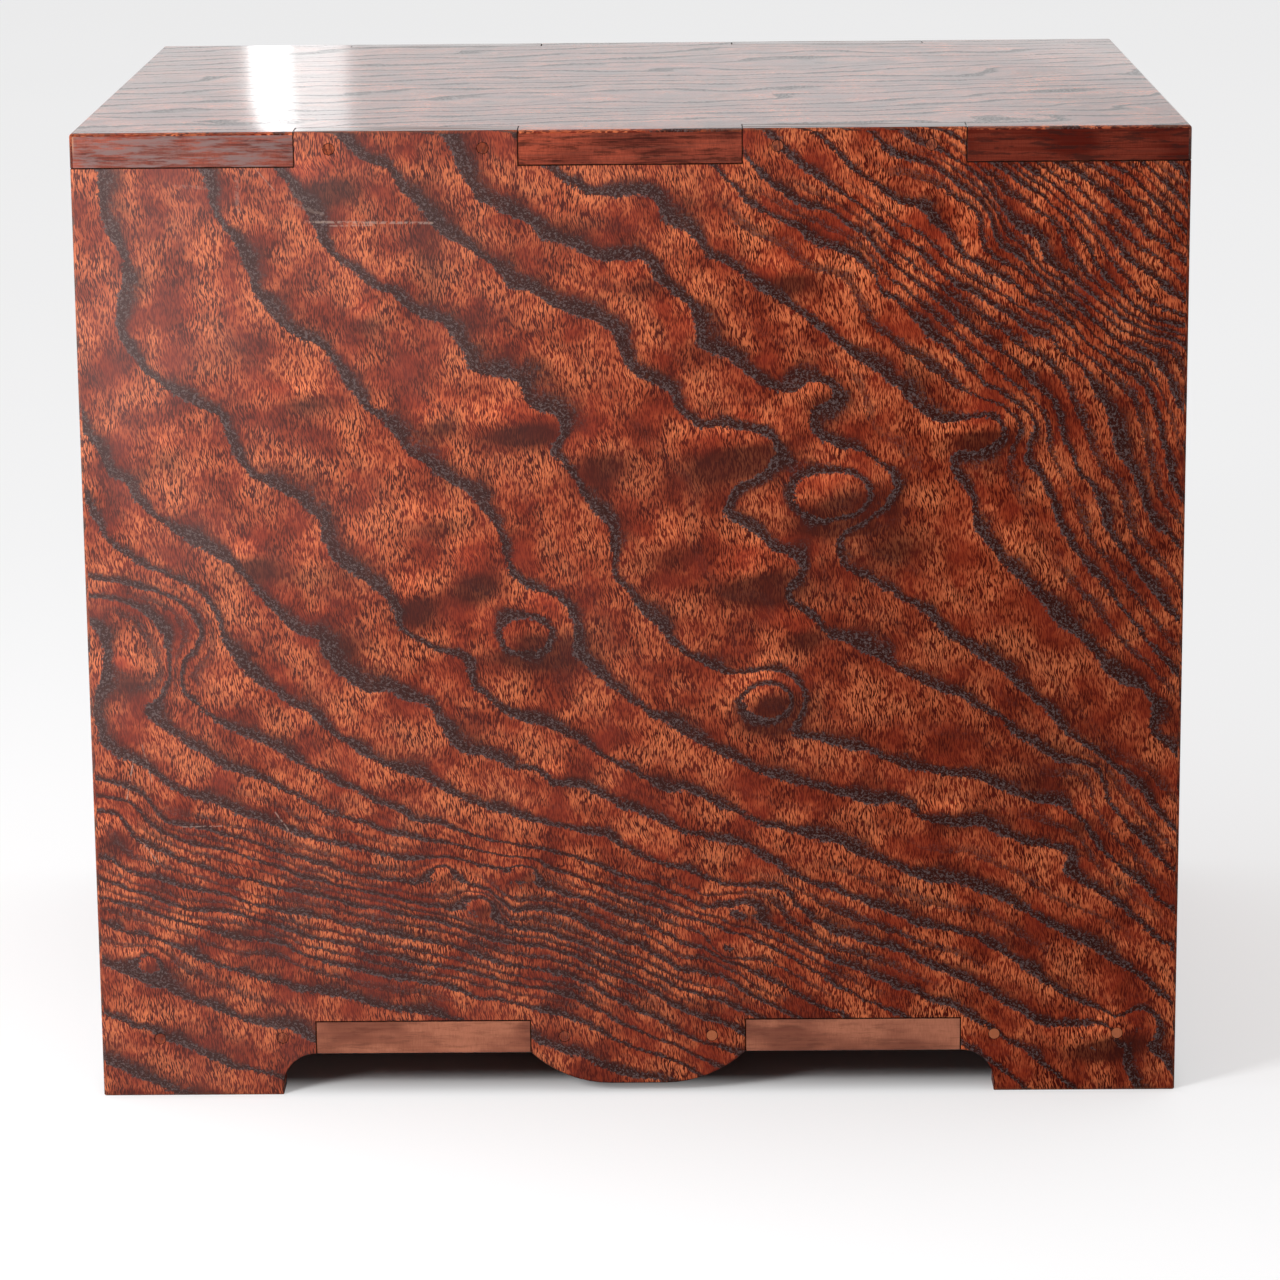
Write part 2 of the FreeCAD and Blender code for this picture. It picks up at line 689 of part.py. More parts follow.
def make_drawer(name):
    make_drawer_front(name)
    make_drawer_side(name, "left")
    make_drawer_side(name, "right")
    make_drawer_back(name)
    make_drawer_bottom(name)
    places = drawer_peg_places(name)
    diameter = "sizes.drawer_peg_diameter"
    peg_group(f"{name}_drawer_pegs", places, ALONG_X, diameter, "sizes.drawer_peg_length")
    make_pull_seat(name)
    make_pull_pin(name)
    make_pull_ring(name)


# Rounded and bevelled edges

def case_planes():
    """The planes of the case's outer faces, as an axis and a distance from the middle or the floor."""
    return (
        ("x", value("layout.half_width")),
        ("y", value("layout.half_depth")),
        ("z", value("sizes.case_height")),
    )


def planes_touched(point):
    return {
        axis
        for axis, distance in case_planes()
        if math.isclose(abs(getattr(point, axis)), distance, abs_tol=Part.Precision.confusion())
    }


def arris_names(shape):
    """Edges that lie on two outer faces of the case at once."""
    names = []
    for count, edge in enumerate(shape.Edges, 1):
        ends = [planes_touched(vertex.Point) for vertex in edge.Vertexes]
        middle = planes_touched(edge.CenterOfMass)
        if len(middle) >= 2 and all(middle <= touched for touched in ends):
            names.append(f"Edge{count}")
    return names


def front_rim_names(shape):
    """The outer edges of the foremost flat face, without those of a hole in it."""
    face = min(shape.Faces, key=lambda item: item.CenterOfMass.y)
    rim = face.OuterWire.Edges
    return [f"Edge{count}" for count, edge in enumerate(shape.Edges, 1) if any(map(edge.isSame, rim))]


def dress_outer_edges():
    for body in list(nodes):
        if body.Label in ("top_board", "left_side_panel", "right_side_panel"):
            edges = arris_names(body.Shape)
            dress_edges(body, "Fillet", "Arris", edges, "Radius", "sizes.arris_round")
        elif body.Label.endswith("_drawer_front"):
            edges = front_rim_names(body.Shape)
            dress_edges(body, "Fillet", "FrontEdges", edges, "Radius", "sizes.front_round")
        elif body.Label.endswith("_pull_seat"):
            edges = front_rim_names(body.Shape)
            dress_edges(body, "Chamfer", "Bevel", edges, "Size", "sizes.seat_bevel")


# Checks and files

def check_document():
    for item in doc.Objects:
        if "Invalid" in item.State or "Error" in item.State:
            raise RuntimeError(f"{item.Label} did not compute: {item.State}")
        if item.TypeId.startswith("PartDesign::Subtractive"):
            if item.Shape.Volume >= item.BaseFeature.Shape.Volume:
                raise RuntimeError(f"{item.Name} cuts nothing")
    for node in nodes:
        if node.Shape.isNull() or not node.Shape.isValid():
            raise RuntimeError(f"{node.Label} has no valid shape")


fill_sheet(sizes, DRIVING_SIZES, "")
for drawer, drawer_opening in DRAWER_OPENINGS.items():
    LAYOUT.update(drawer_places(drawer, drawer_opening))
fill_sheet(layout, LAYOUT, "=")
doc.recompute()

make_top_board()
make_base_board()
left_start = "-layout.half_width"
make_side_panel("left_side_panel", left_start, "-layout.inner_half", "-layout.housed_half")
make_side_panel("right_side_panel", "layout.inner_half", "layout.inner_half", "layout.housed_half")
make_back_panel()
for rail_level in RAILS:
    make_rail(rail_level)
    make_shelf(rail_level)
make_divider()
peg_group("top_pegs", TOP_PEG_PLACES, ALONG_X, "sizes.peg_diameter", "sizes.peg_length")
peg_group("base_pegs", BASE_PEG_PLACES, ALONG_X, "sizes.peg_diameter", "sizes.peg_length")
peg_group("back_pegs", back_peg_places(), ALONG_Y, "sizes.back_peg_diameter", "sizes.back_peg_length")
for drawer in DRAWER_OPENINGS:
    make_drawer(drawer)
doc.recompute()
dress_outer_edges()
doc.recompute()
check_document()

for node in nodes:
    node.Shape.exportStep(f"parts/{node.Label}.step")
    print(f"{node.Label}: {len(node.Shape.Solids)} solids, {node.Shape.Volume:.1f} cubic mm")
print(f"{len(nodes)} nodes")
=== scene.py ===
import math

import bmesh
import bpy
import numpy as np
from mathutils import Matrix, Vector


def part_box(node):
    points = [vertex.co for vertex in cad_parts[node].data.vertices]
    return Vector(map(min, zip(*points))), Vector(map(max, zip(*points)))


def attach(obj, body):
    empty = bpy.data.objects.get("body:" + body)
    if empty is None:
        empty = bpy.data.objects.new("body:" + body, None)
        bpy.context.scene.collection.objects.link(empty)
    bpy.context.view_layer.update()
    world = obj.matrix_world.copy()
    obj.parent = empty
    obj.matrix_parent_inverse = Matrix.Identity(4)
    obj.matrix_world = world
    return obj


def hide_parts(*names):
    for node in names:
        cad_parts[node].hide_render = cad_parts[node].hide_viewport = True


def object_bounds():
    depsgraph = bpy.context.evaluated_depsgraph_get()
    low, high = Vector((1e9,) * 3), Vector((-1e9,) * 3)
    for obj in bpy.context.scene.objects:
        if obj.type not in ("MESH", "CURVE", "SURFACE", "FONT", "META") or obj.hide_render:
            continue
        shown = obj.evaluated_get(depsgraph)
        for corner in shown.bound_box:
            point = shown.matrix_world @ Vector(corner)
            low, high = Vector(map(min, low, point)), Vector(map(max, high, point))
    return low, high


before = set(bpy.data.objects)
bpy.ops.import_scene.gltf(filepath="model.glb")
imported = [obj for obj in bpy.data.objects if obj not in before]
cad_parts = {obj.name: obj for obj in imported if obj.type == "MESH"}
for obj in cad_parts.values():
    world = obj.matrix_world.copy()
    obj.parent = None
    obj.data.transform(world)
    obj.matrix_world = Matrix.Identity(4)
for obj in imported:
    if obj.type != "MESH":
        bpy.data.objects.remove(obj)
cad_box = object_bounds()


# The viewpoint
# A long lens stands a little over a metre from the right side panel, above the level of the chest's top,
# and looks down at it by 13 degrees.

PHOTO_WIDTH = 1280
FOCAL_LENGTH_IN_PIXELS = 4571.9
FILM_WIDTH = 36
VIEW_YAW = math.radians(-0.527)
VIEW_DIP = math.radians(13.095)
VIEW_ROLL = math.radians(0.516)
VIEWPOINT = Vector((1.3497, 0.01284, 0.41792))


def seen_as(right, away, up):
    """A direction given as the photographer saw it, in the chest's own axes."""
    return Vector((-away, right, up))


sight = seen_as(math.sin(VIEW_YAW) * math.cos(VIEW_DIP), math.cos(VIEW_YAW) * math.cos(VIEW_DIP), -math.sin(VIEW_DIP))
level_right = seen_as(math.cos(VIEW_YAW), -math.sin(VIEW_YAW), 0)
level_down = sight.cross(level_right)
view_right = level_right * math.cos(VIEW_ROLL) + level_down * math.sin(VIEW_ROLL)
view_down = level_down * math.cos(VIEW_ROLL) - level_right * math.sin(VIEW_ROLL)

lens = bpy.data.cameras.new("viewpoint")
lens.sensor_fit = "HORIZONTAL"
lens.sensor_width = FILM_WIDTH
lens.lens = FOCAL_LENGTH_IN_PIXELS / PHOTO_WIDTH * FILM_WIDTH
camera = bpy.data.objects.new("viewpoint", lens)
turned = Matrix((view_right, -view_down, -sight)).transposed().to_4x4()
camera.matrix_world = Matrix.Translation(VIEWPOINT) @ turned
bpy.context.scene.collection.objects.link(camera)
bpy.context.scene.camera = camera
bpy.context.scene.view_settings.view_transform = "Standard"


# Floor and light
# The chest stands on a plain white floor in a white room. A soft lamp on the photographer's left throws the
# shadow to the right, one overhead evens the floor, and two narrow ones show only as the strip of light on the top.

FLOOR_REACH = 12
FLOOR_WHITES = (0.54, 0.54, 0.545, 1), (0.56, 0.56, 0.565, 1)
FLOOR_GLOW = 0.47
KEY_SIDE = math.radians(42)
KEY_RISE = math.radians(19)
LAMP_AIM = Vector((0, 0, 0.13))
HALF_FOOTPRINT = (118, 151)
ROOM_SEEN = 0.84
ROOM_LIGHT = 0.85
LESS_LIGHT_BEHIND = 0.67
LESS_MIRRORED_BEHIND = 0.8


def join(tree, source, socket):
    """Sets a socket, or links it when the source is another node's output or a field."""
    if isinstance(source, Field):
        source = source.socket
    if isinstance(source, bpy.types.NodeSocket):
        tree.links.new(source, socket)
    else:
        socket.default_value = source


class Field:
    """A value over a surface. Arithmetic on it adds the nodes that work it out."""

    def __init__(self, tree, socket):
        self.tree = tree
        self.socket = socket

    def worked(self, operation, *others):
        """What a maths node makes of this field and others."""
        node = self.tree.nodes.new("ShaderNodeMath")
        node.operation = operation
        for socket, source in zip(node.inputs, (self, *others)):
            join(self.tree, source, socket)
        return Field(self.tree, node.outputs[0])

    def __add__(self, other):
        return self.worked("ADD", other)

    def __sub__(self, other):
        return self.worked("SUBTRACT", other)

    def __mul__(self, other):
        return self.worked("MULTIPLY", other)

    def __truediv__(self, other):
        return self.worked("DIVIDE", other)

    def __rsub__(self, other):
        return (self * -1) + other

    def least(self, other):
        return self.worked("MINIMUM", other)

    def most(self, other):
        return self.worked("MAXIMUM", other)

    def size(self):
        return self.worked("ABSOLUTE")

    def past_whole(self):
        return self.worked("FRACT")

    def rising(self, low, high):
        """0 below the low value, 1 above the high value and a smooth step between them."""
        node = self.tree.nodes.new("ShaderNodeMapRange")
        node.interpolation_type = "SMOOTHSTEP"
        for name, source in (("Value", self), ("From Min", low), ("From Max", high)):
            join(self.tree, source, node.inputs[name])
        return Field(self.tree, node.outputs["Result"])


def of_vectors(tree, operation, first, second=None):
    """Arithmetic on two vectors, or on a vector and a number."""
    node = tree.nodes.new("ShaderNodeVectorMath")
    node.operation = operation
    join(tree, first, node.inputs[0])
    if second is not None:
        join(tree, second, node.inputs["Scale" if operation == "SCALE" else 1])
    return node.outputs["Value"] if operation in ("DOT_PRODUCT", "LENGTH") else node.outputs[0]


def split(tree, vector_socket):
    """The three parts of a vector, as fields."""
    node = tree.nodes.new("ShaderNodeSeparateXYZ")
    tree.links.new(vector_socket, node.inputs[0])
    return [Field(tree, output) for output in node.outputs]


def mottle(tree, place, scale, detail=2.0, roughness=0.5):
    """Uneven noise from 0 to 1, whose patches measure about one over the scale."""
    node = tree.nodes.new("ShaderNodeTexNoise")
    join(tree, place, node.inputs["Vector"])
    node.inputs["Scale"].default_value = scale
    node.inputs["Detail"].default_value = detail
    node.inputs["Roughness"].default_value = roughness
    return Field(tree, node.outputs[0])


def blend(tree, share, first, second):
    """A colour between two colours."""
    node = tree.nodes.new("ShaderNodeMix")
    node.data_type = "RGBA"
    join(tree, share, node.inputs["Factor"])
    join(tree, first, node.inputs[6])
    join(tree, second, node.inputs[7])
    return node.outputs[2]


def new_finish(name):
    """An empty material with its shader, and the place on the piece in millimetres, whole and in its three parts."""
    finish = bpy.data.materials.new(name)
    finish.use_nodes = True
    tree = finish.node_tree
    where = tree.nodes.new("ShaderNodeTexCoord")
    place = of_vectors(tree, "SCALE", where.outputs["Object"], 1000)
    return finish, tree, tree.nodes["Principled BSDF"], place, split(tree, place)


def settle(shader, **values):
    """Sets plain values on a shader's own sockets."""
    for label, value in values.items():
        shader.inputs[label.replace("_", " ")].default_value = value


def seen_directly(tree):
    """Masks for what the camera sees, and for what a gloss or a glass shows of the room."""
    paths = tree.nodes.new("ShaderNodeLightPath")
    camera_ray, gloss_ray, glass_ray = (
        Field(tree, paths.outputs[f"Is {kind} Ray"]) for kind in ("Camera", "Glossy", "Transmission"))
    return camera_ray, gloss_ray.most(glass_ray)


floor_finish, tree, shader, place, (x, y, z) = new_finish("white floor")
join(tree, blend(tree, mottle(tree, place, 0.002, 1), *FLOOR_WHITES), shader.inputs["Base Color"])
settle(shader, Roughness=0.8, Specular_IOR_Level=0.0, Emission_Color=(1, 1, 1, 1))
by_camera, by_mirror = seen_directly(tree)
# It glows only beside the chest, so the shade under the base stays
beside_chest = (x.size() - HALF_FOOTPRINT[0]).most(y.size() - HALF_FOOTPRINT[1]).rising(-16.0, 6.0)
join(tree, by_camera.most(by_mirror) * beside_chest * FLOOR_GLOW, shader.inputs["Emission Strength"])
floor_mesh = bpy.data.meshes.new("floor")
corners = [(x_sign * FLOOR_REACH, y_sign * FLOOR_REACH, 0) for x_sign, y_sign in ((-1, -1), (1, -1), (1, 1), (-1, 1))]
floor_mesh.from_pydata(corners, [], [(0, 1, 2, 3)])
floor_mesh.materials.append(floor_finish)
floor = bpy.data.objects.new("floor", floor_mesh)
bpy.context.scene.collection.objects.link(floor)


def soft_lamp(name, towards, distance, size, brightness):
    """A rectangular lamp that faces the chest; brightness is how bright its own face is, where white is 1."""
    data = bpy.data.lights.new(name, "AREA")
    data.shape = "RECTANGLE"
    data.size, data.size_y = size
    data.energy = brightness * math.pi * size[0] * size[1]
    lamp = bpy.data.objects.new(name, data)
    lamp.location = Vector(towards).normalized() * distance + LAMP_AIM
    lamp.rotation_euler = (-Vector(towards)).to_track_quat("-Z", "Y").to_euler()
    lamp.visible_camera = False
    bpy.context.scene.collection.objects.link(lamp)
    return lamp


key_direction = (math.cos(KEY_SIDE) * math.cos(KEY_RISE), -math.sin(KEY_SIDE) * math.cos(KEY_RISE), math.sin(KEY_RISE))
soft_lamp("key", key_direction, distance=0.82, size=(0.2, 0.2), brightness=42).visible_glossy = False
soft_lamp("overhead", (0.05, 0, 1), distance=3.0, size=(4, 4), brightness=0.3)
for name, sideways, width, brightness in (("window", -0.1295, 0.034, 2.2), ("window edge", -0.113, 0.04, 0.8)):
    strip = soft_lamp(name, (-1, sideways, 0.11), distance=2.6, size=(width, 0.9), brightness=brightness)
    strip.visible_diffuse = False

room = bpy.data.worlds.new("white room")
room.use_nodes = True
bpy.context.scene.world = room
tree = room.node_tree
background = tree.nodes["Background"]
background.inputs["Color"].default_value = (1, 1, 1, 1)
behind_camera = split(tree, tree.nodes.new("ShaderNodeTexCoord").outputs["Generated"])[0].rising(-0.2, 0.7)
by_camera, by_mirror = seen_directly(tree)
mirrored = by_mirror * (1.0 - behind_camera * LESS_MIRRORED_BEHIND)
lighting = (1.0 - by_camera.most(by_mirror)) * (ROOM_LIGHT - behind_camera * LESS_LIGHT_BEHIND)
join(tree, (by_camera * ROOM_SEEN).most(mirrored).most(lighting), background.inputs["Strength"])


# Base board
# A board of burl-figured zelkova, 9.5 mm thick and 12 mm off the floor, under clear lacquer. It is sawn with
# two fingers in each long edge, which come through the side panels and show their end grain there.

JOINT_EASING = 0.0002
FLUSH = 1e-5
SAME_PLACE = 1e-6
SHARP_CORNER = math.radians(40)
SHADED_ROUND = math.radians(28)
# The case's box in millimetres, as the materials count
CASE_MIDDLE = (0, 0, 136.4)
CASE_HALF_SIZE = (118.25, 151.5, 136.4)
X, Y, Z = range(3)

WOOD_GROUND = (0.062, 0.0052, 0.0028, 1), (0.17, 0.017, 0.0075, 1)
WOOD_FLECKS = (0.38, 0.052, 0.016, 1), (0.66, 0.170, 0.064, 1)
BAND_BROWN = (0.050, 0.0080, 0.0052, 1)
# Painted shade below the burl's swellings
PAINTED_SHADE_BROWN = (0.042, 0.0060, 0.0036, 1)
PORE_BROWN = (0.026, 0.0062, 0.0044, 1)
PORE_GREY = (0.13, 0.092, 0.090, 1)
RUBBED_WOOD = (0.30, 0.105, 0.05, 1)
JOINT_DARK = (0.012, 0.006, 0.004, 1)
END_RING_DARK = (0.035, 0.022, 0.019, 1)
END_SAWN_DARK = (0.026, 0.008, 0.006, 1)
RED_FILM = (0.082, 0.0045, 0.001, 1)
SCUFF_GREY = (0.25, 0.165, 0.155, 1)
BARE_NICK = (0.52, 0.27, 0.16, 1)
LACQUER_COAT = {"Coat_Roughness": 0.12, "Coat_IOR": 1.28, "Specular_IOR_Level": 0.0}
BUMP_DEPTH = 0.0001

BOARD_RUN = {"Across": ("Float", 0.0), "Along": ("Float", 0.0), "Deep": ("Float", 0.0)}


def vector(tree, x, y, z):
    """Three values as one vector."""
    node = tree.nodes.new("ShaderNodeCombineXYZ")
    for socket, source in zip(node.inputs, (x, y, z)):
        join(tree, source, socket)
    return node.outputs[0]


def attribute(tree, label):
    """A value written on the mesh's corners or faces."""
    node = tree.nodes.new("ShaderNodeAttribute")
    node.attribute_name = label
    return Field(tree, node.outputs["Fac"])


def effect_group(name, inputs, outputs):
    """A new node group; returns it with its inputs as fields or sockets and its output node."""
    group = bpy.data.node_groups.new(name, "ShaderNodeTree")
    for label, (kind, start) in inputs.items():
        socket = group.interface.new_socket(label, in_out="INPUT", socket_type=f"NodeSocket{kind}")
        socket.default_value = start
    for label, kind in outputs.items():
        group.interface.new_socket(label, in_out="OUTPUT", socket_type=f"NodeSocket{kind}")
    entry = group.nodes.new("NodeGroupInput")
    given = {
        label: Field(group, entry.outputs[label]) if kind == "Float" else entry.outputs[label]
        for label, (kind, start) in inputs.items()
    }
    return group, given, group.nodes.new("NodeGroupOutput").inputs


def apply_effect(tree, group, **inputs):
    """Puts a group into a material and returns its outputs by name."""
    node = tree.nodes.new("ShaderNodeGroup")
    node.node_tree = group
    for label, source in inputs.items():
        join(tree, source, node.inputs[label.replace("_", " ")])
    return {output.name: Field(tree, output) if output.type == "VALUE" else output for output in node.outputs}


def emboss(tree, shader, height, strength, distance=BUMP_DEPTH):
    """Bump from a height field, in the depth given in metres."""
    node = tree.nodes.new("ShaderNodeBump")
    node.inputs["Strength"].default_value = strength
    node.inputs["Distance"].default_value = distance
    join(tree, height, node.inputs["Height"])
    tree.links.new(node.outputs["Normal"], shader.inputs["Normal"])


# Each growth ring starts with a grey-black line of open pores and goes over a soft dark band into red-brown
# wood. Finer rings run at the half counts, and orange flecks run with the fibres all over it.
figure, given, made = effect_group(
    "figured zelkova",
    {
        **BOARD_RUN,
        "Ring": ("Float", 0.0),
        "Rings per mm": ("Float", 0.15),
        "Between": ("Float", 0.25),
        "Relief": ("Float", 0.0),
    },
    {"Color": "Color", "Roughness": "Float", "Coat": "Float", "Height": "Float"},
)
across, along, deep, between = (given[label] for label in ("Across", "Along", "Deep", "Between"))
place = vector(figure, across, along, deep)
ring_width = given["Rings per mm"].most(0.008).worked("POWER", -1.0)
patches = mottle(figure, place, 0.07, 2).rising(0.25, 0.75)
broken = mottle(figure, place, 0.3, 3, 0.65).rising(0.3, 0.6) * 0.6 + 0.4
lively = mottle(figure, place, 0.075, 3, 0.6)
glow = mottle(figure, place, 0.13, 3)
band_width = (ring_width * 0.5).least(8.0) * (patches * 1.1 + 0.3)
core_width = (ring_width * 0.2 + 0.6).least(4.2) * (patches * 1.1 + 0.5)

jagged = (mottle(figure, place, 0.2, 3, 0.6) - 0.5) * 3.2 + (mottle(figure, place, 1.2, 2, 0.6) - 0.5) * 2.6
jagged = jagged * (ring_width * 0.12).least(1.0)
from_line = ((given["Ring"] + 0.5).past_whole() - 0.5) * ring_width + jagged
band = from_line.rising(-0.3, 0.3) * (1.0 - from_line.rising(band_width * 0.15, band_width)) * broken
core = from_line.rising(-0.4, 0.0) * (1.0 - from_line.rising(core_width * 0.4, core_width))
from_half = (given["Ring"].past_whole() - 0.5) * ring_width + jagged
half_band = from_half.rising(-0.2, 0.2) * (1.0 - from_half.rising(0.2, band_width * 0.5)) * between * broken
half_core = from_half.rising(-0.3, 0.0) * (1.0 - from_half.rising(core_width * 0.35, core_width * 0.9)) * between
band = band.most(half_band * 0.9)
core = core.most(half_core * 0.9)
filaments = mottle(figure, vector(figure, from_line * 2.0, across * 1.1, along * 1.1), 1.0, 2, 0.65)
edge_line = from_line.rising(-0.45, -0.1) * (1.0 - from_line.rising(0.1, 0.5)) * patches.rising(0.3, 0.55)
pale_pores = (core * filaments.rising(0.52, 0.6)).most(edge_line * filaments.rising(0.4, 0.55) * 0.8)
dark_pores = band * filaments.rising(0.5, 0.6) * 0.85

bend = (mottle(figure, vector(figure, across * 0.09, along * 0.13, deep), 1.0, 2) - 0.5) * 2.6
waver = (mottle(figure, vector(figure, across * 0.5, along * 0.5, deep), 1.0, 1) - 0.5) * 0.3
beside_fibres = (across + along * 0.08 + bend + waver) * 3.7
strokes = mottle(figure, vector(figure, beside_fibres, along * 0.55, deep * 0.4), 1.0, 1, 0.5)
flecks = strokes.rising(0.44, 0.57) * (lively.rising(0.3, 0.58) * 0.65 + 0.35)

ground = blend(figure, glow.rising(0.35, 0.7), *WOOD_GROUND)
wood = blend(figure, flecks * (1.0 - band * 0.75), ground, blend(figure, lively.rising(0.35, 0.68), *WOOD_FLECKS))
# Painted light and shade of the swellings: brighter where they face the light, painted shade brown below them
wood = of_vectors(figure, "SCALE", wood, given["Relief"].most(0.0) * 0.55 + 1.0)
wood = blend(figure, band * (ring_width * 0.05 + 0.35).least(0.8), wood, BAND_BROWN)
wood = blend(figure, (given["Relief"] * -1.3).most(0.0).least(0.82), wood, PAINTED_SHADE_BROWN)
wood = blend(figure, (core * 0.85).most(dark_pores), wood, PORE_BROWN)
wood = blend(figure, pale_pores * (ring_width * 0.06 + 0.3).least(0.75), wood, PORE_GREY)
join(figure, wood, made["Color"])
join(figure, core * 0.25 + 0.4 + (glow - 0.5) * 0.1, made["Roughness"])
join(figure, 0.9 - core * filaments.rising(0.4, 0.55) * 0.35, made["Coat"])
join(figure, (1.0 - core * filaments.rising(0.4, 0.6)) + strokes * 0.12, made["Height"])

# Rings for a board that the photograph doesn't show close up: they wander and bend round small swellings
rings, given, made = effect_group(
    "growth rings",
    {
        **BOARD_RUN, "Ring Width": ("Float", 7.0), "Lean": ("Float", 0.5), "Wander": ("Float", 3.0),
        "Plank": ("Float", 0.0),
    },
    {"Ring": "Float", "Relief": "Float"},
)
across, along, deep, plank = (given[label] for label in ("Across", "Along", "Deep", "Plank"))
slow = mottle(rings, vector(rings, across * 0.013, along * 0.006, deep * 0.01 + plank), 1.0, 1)
knots = mottle(rings, vector(rings, across * 0.05, along * 0.028, deep * 0.03 + plank), 1.0, 1)
ring = (across + along * given["Lean"] + deep * 0.3) / given["Ring Width"]
join(rings, ring + (slow - 0.5) * given["Wander"] * 3.0 + (knots - 0.5) * given["Wander"], made["Ring"])
# Random patches of painted light and shade, as if small swellings caught the light
join(rings, (knots - 0.5) * 1.6, made["Relief"])

# Wear gathers where two faces of a board's box meet
wear, given, made = effect_group(
    "edge wear",
    {
        "Place": ("Vector", (0, 0, 0)), "Middle": ("Vector", (0, 0, 0)), "Half Size": ("Vector", (1, 1, 1)),
        "Width": ("Float", 1.0),
    },
    {"Wear": "Float"},
)
from_middle = of_vectors(wear, "ABSOLUTE", of_vectors(wear, "SUBTRACT", given["Place"], given["Middle"]))
inset_x, inset_y, inset_z = split(wear, of_vectors(wear, "SUBTRACT", given["Half Size"], from_middle))
nearest_two = inset_x.least(inset_y).most(inset_x.most(inset_y).least(inset_z))
rubbed = mottle(wear, given["Place"], 0.12, 4, 0.65)
reach = given["Width"] * (rubbed * 2.2 - 0.35)
join(wear, (1.0 - nearest_two.rising(0.0, reach.most(0.02))) * rubbed.rising(0.25, 0.6), made["Wear"])


def lacquered(tree, shader, look, place, middle, half_size, lacquer=1.0):
    """Finishes a zelkova shader: worn arrises, dark joints, clear lacquer."""
    worn = apply_effect(tree, wear, Place=place, Middle=middle, Half_Size=half_size, Width=1.0)["Wear"]
    colour = blend(tree, worn * 0.45, look["Color"], RUBBED_WOOD)
    colour = blend(tree, attribute(tree, "joint") * 0.85, colour, JOINT_DARK)
    join(tree, colour, shader.inputs["Base Color"])
    join(tree, look["Roughness"], shader.inputs["Roughness"])
    join(tree, look["Coat"] * lacquer, shader.inputs["Coat Weight"])
    settle(shader, **LACQUER_COAT)
    emboss(tree, shader, look["Height"], 0.2)


def zelkova_board(name, run, ring_width, lean, wander, plank, middle=CASE_MIDDLE, half_size=CASE_HALF_SIZE):
    """Figured zelkova for a board whose rings follow a rule; run gives the axes across, along and into the board."""
    finish, tree, shader, place, axes = new_finish(name)
    where = {label: axes[axis] for label, axis in zip(BOARD_RUN, run)}
    grown = apply_effect(tree, rings, **where, Ring_Width=ring_width, Lean=lean, Wander=wander, Plank=plank)
    look = apply_effect(tree, figure, **where, Ring=grown["Ring"], Rings_per_mm=1 / ring_width, Relief=grown["Relief"])
    lacquered(tree, shader, look, place, middle, half_size)
    return finish


def end_grain(name, dark, light, greyness, plank, film=0.0, lacquer=0.4, level=1.0):
    """
    Sawn end grain: bands of rings, as level as told, crossed by upright hairlines, under worn lacquer.
    Film is how much red lacquer is left towards the rear and how scuffed the board is towards the front.
    """
    finish, tree, shader, place, (x, y, z) = new_finish(name)
    forward = y * -1
    bands = mottle(tree, vector(tree, y * 0.03 + plank, z * 1.5, x * 0.3), 1.0, 3, 0.6)
    hairs = mottle(tree, vector(tree, y * 2.6 + plank, z * 0.5, x), 1.0, 2, 0.6)
    clouds = mottle(tree, vector(tree, y * 0.05 + plank, z * 0.12, x), 1.0, 2)
    sawn = mottle(tree, vector(tree, y * 0.11 + plank, z * 0.8, x * 0.1), 1.0, 4, 0.7)
    share = bands.rising(0.34, 0.64) * 0.55 * level + clouds.rising(0.36, 0.64) * (1.0 - level * 0.5)
    scuffed = forward.rising(40.0, 110.0) * (sawn.rising(0.4, 0.62) * 0.8 + 0.15)
    nick = forward.rising(149.9, 150.9) * z.rising(266.0, 269.5) * sawn.rising(0.3, 0.42)
    colour = blend(tree, share * (hairs + 0.5), dark, light)
    for amount, tint in (
        (bands.rising(0.52, 0.6) * greyness * level, END_RING_DARK),
        (y.rising(30.0, 95.0) * film * (1.25 - share * 0.5), RED_FILM),
        (sawn.rising(0.5, 0.62) * 0.65 * level, END_SAWN_DARK),
        (scuffed * film, SCUFF_GREY),
        (nick * film, BARE_NICK),
    ):
        colour = blend(tree, amount, colour, tint)
    look = {
        "Color": colour, "Roughness": hairs * 0.2 + 0.35, "Coat": 1.0 - bands.rising(0.5, 0.62) * 0.4,
        "Height": hairs * 0.4 + sawn,
    }
    lacquered(tree, shader, look, place, CASE_MIDDLE, CASE_HALF_SIZE, lacquer)
    return finish


def joined_up(node):
    """A node's mesh, with its faces joined where their corners meet."""
    shape = bmesh.new()
    shape.from_mesh(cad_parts[node].data)
    bmesh.ops.remove_doubles(shape, verts=shape.verts, dist=SAME_PLACE)
    return shape


def eased_board(node):
    """A board as one closed mesh, its sharp edges eased by a hair so that joints show as fine lines."""
    shape = joined_up(node)
    bmesh.ops.dissolve_limit(shape, angle_limit=math.radians(0.5), verts=shape.verts, edges=shape.edges)
    joint = shape.faces.layers.float.new("joint")
    sharp = [edge for edge in shape.edges if len(edge.link_faces) == 2 and edge.calc_face_angle() > SHARP_CORNER]
    eased = bmesh.ops.bevel(
        shape, geom=sharp, offset=JOINT_EASING, segments=1, profile=0.5, affect="EDGES", clamp_overlap=True)
    for face in eased["faces"]:
        face[joint] = 1.0
    return shape


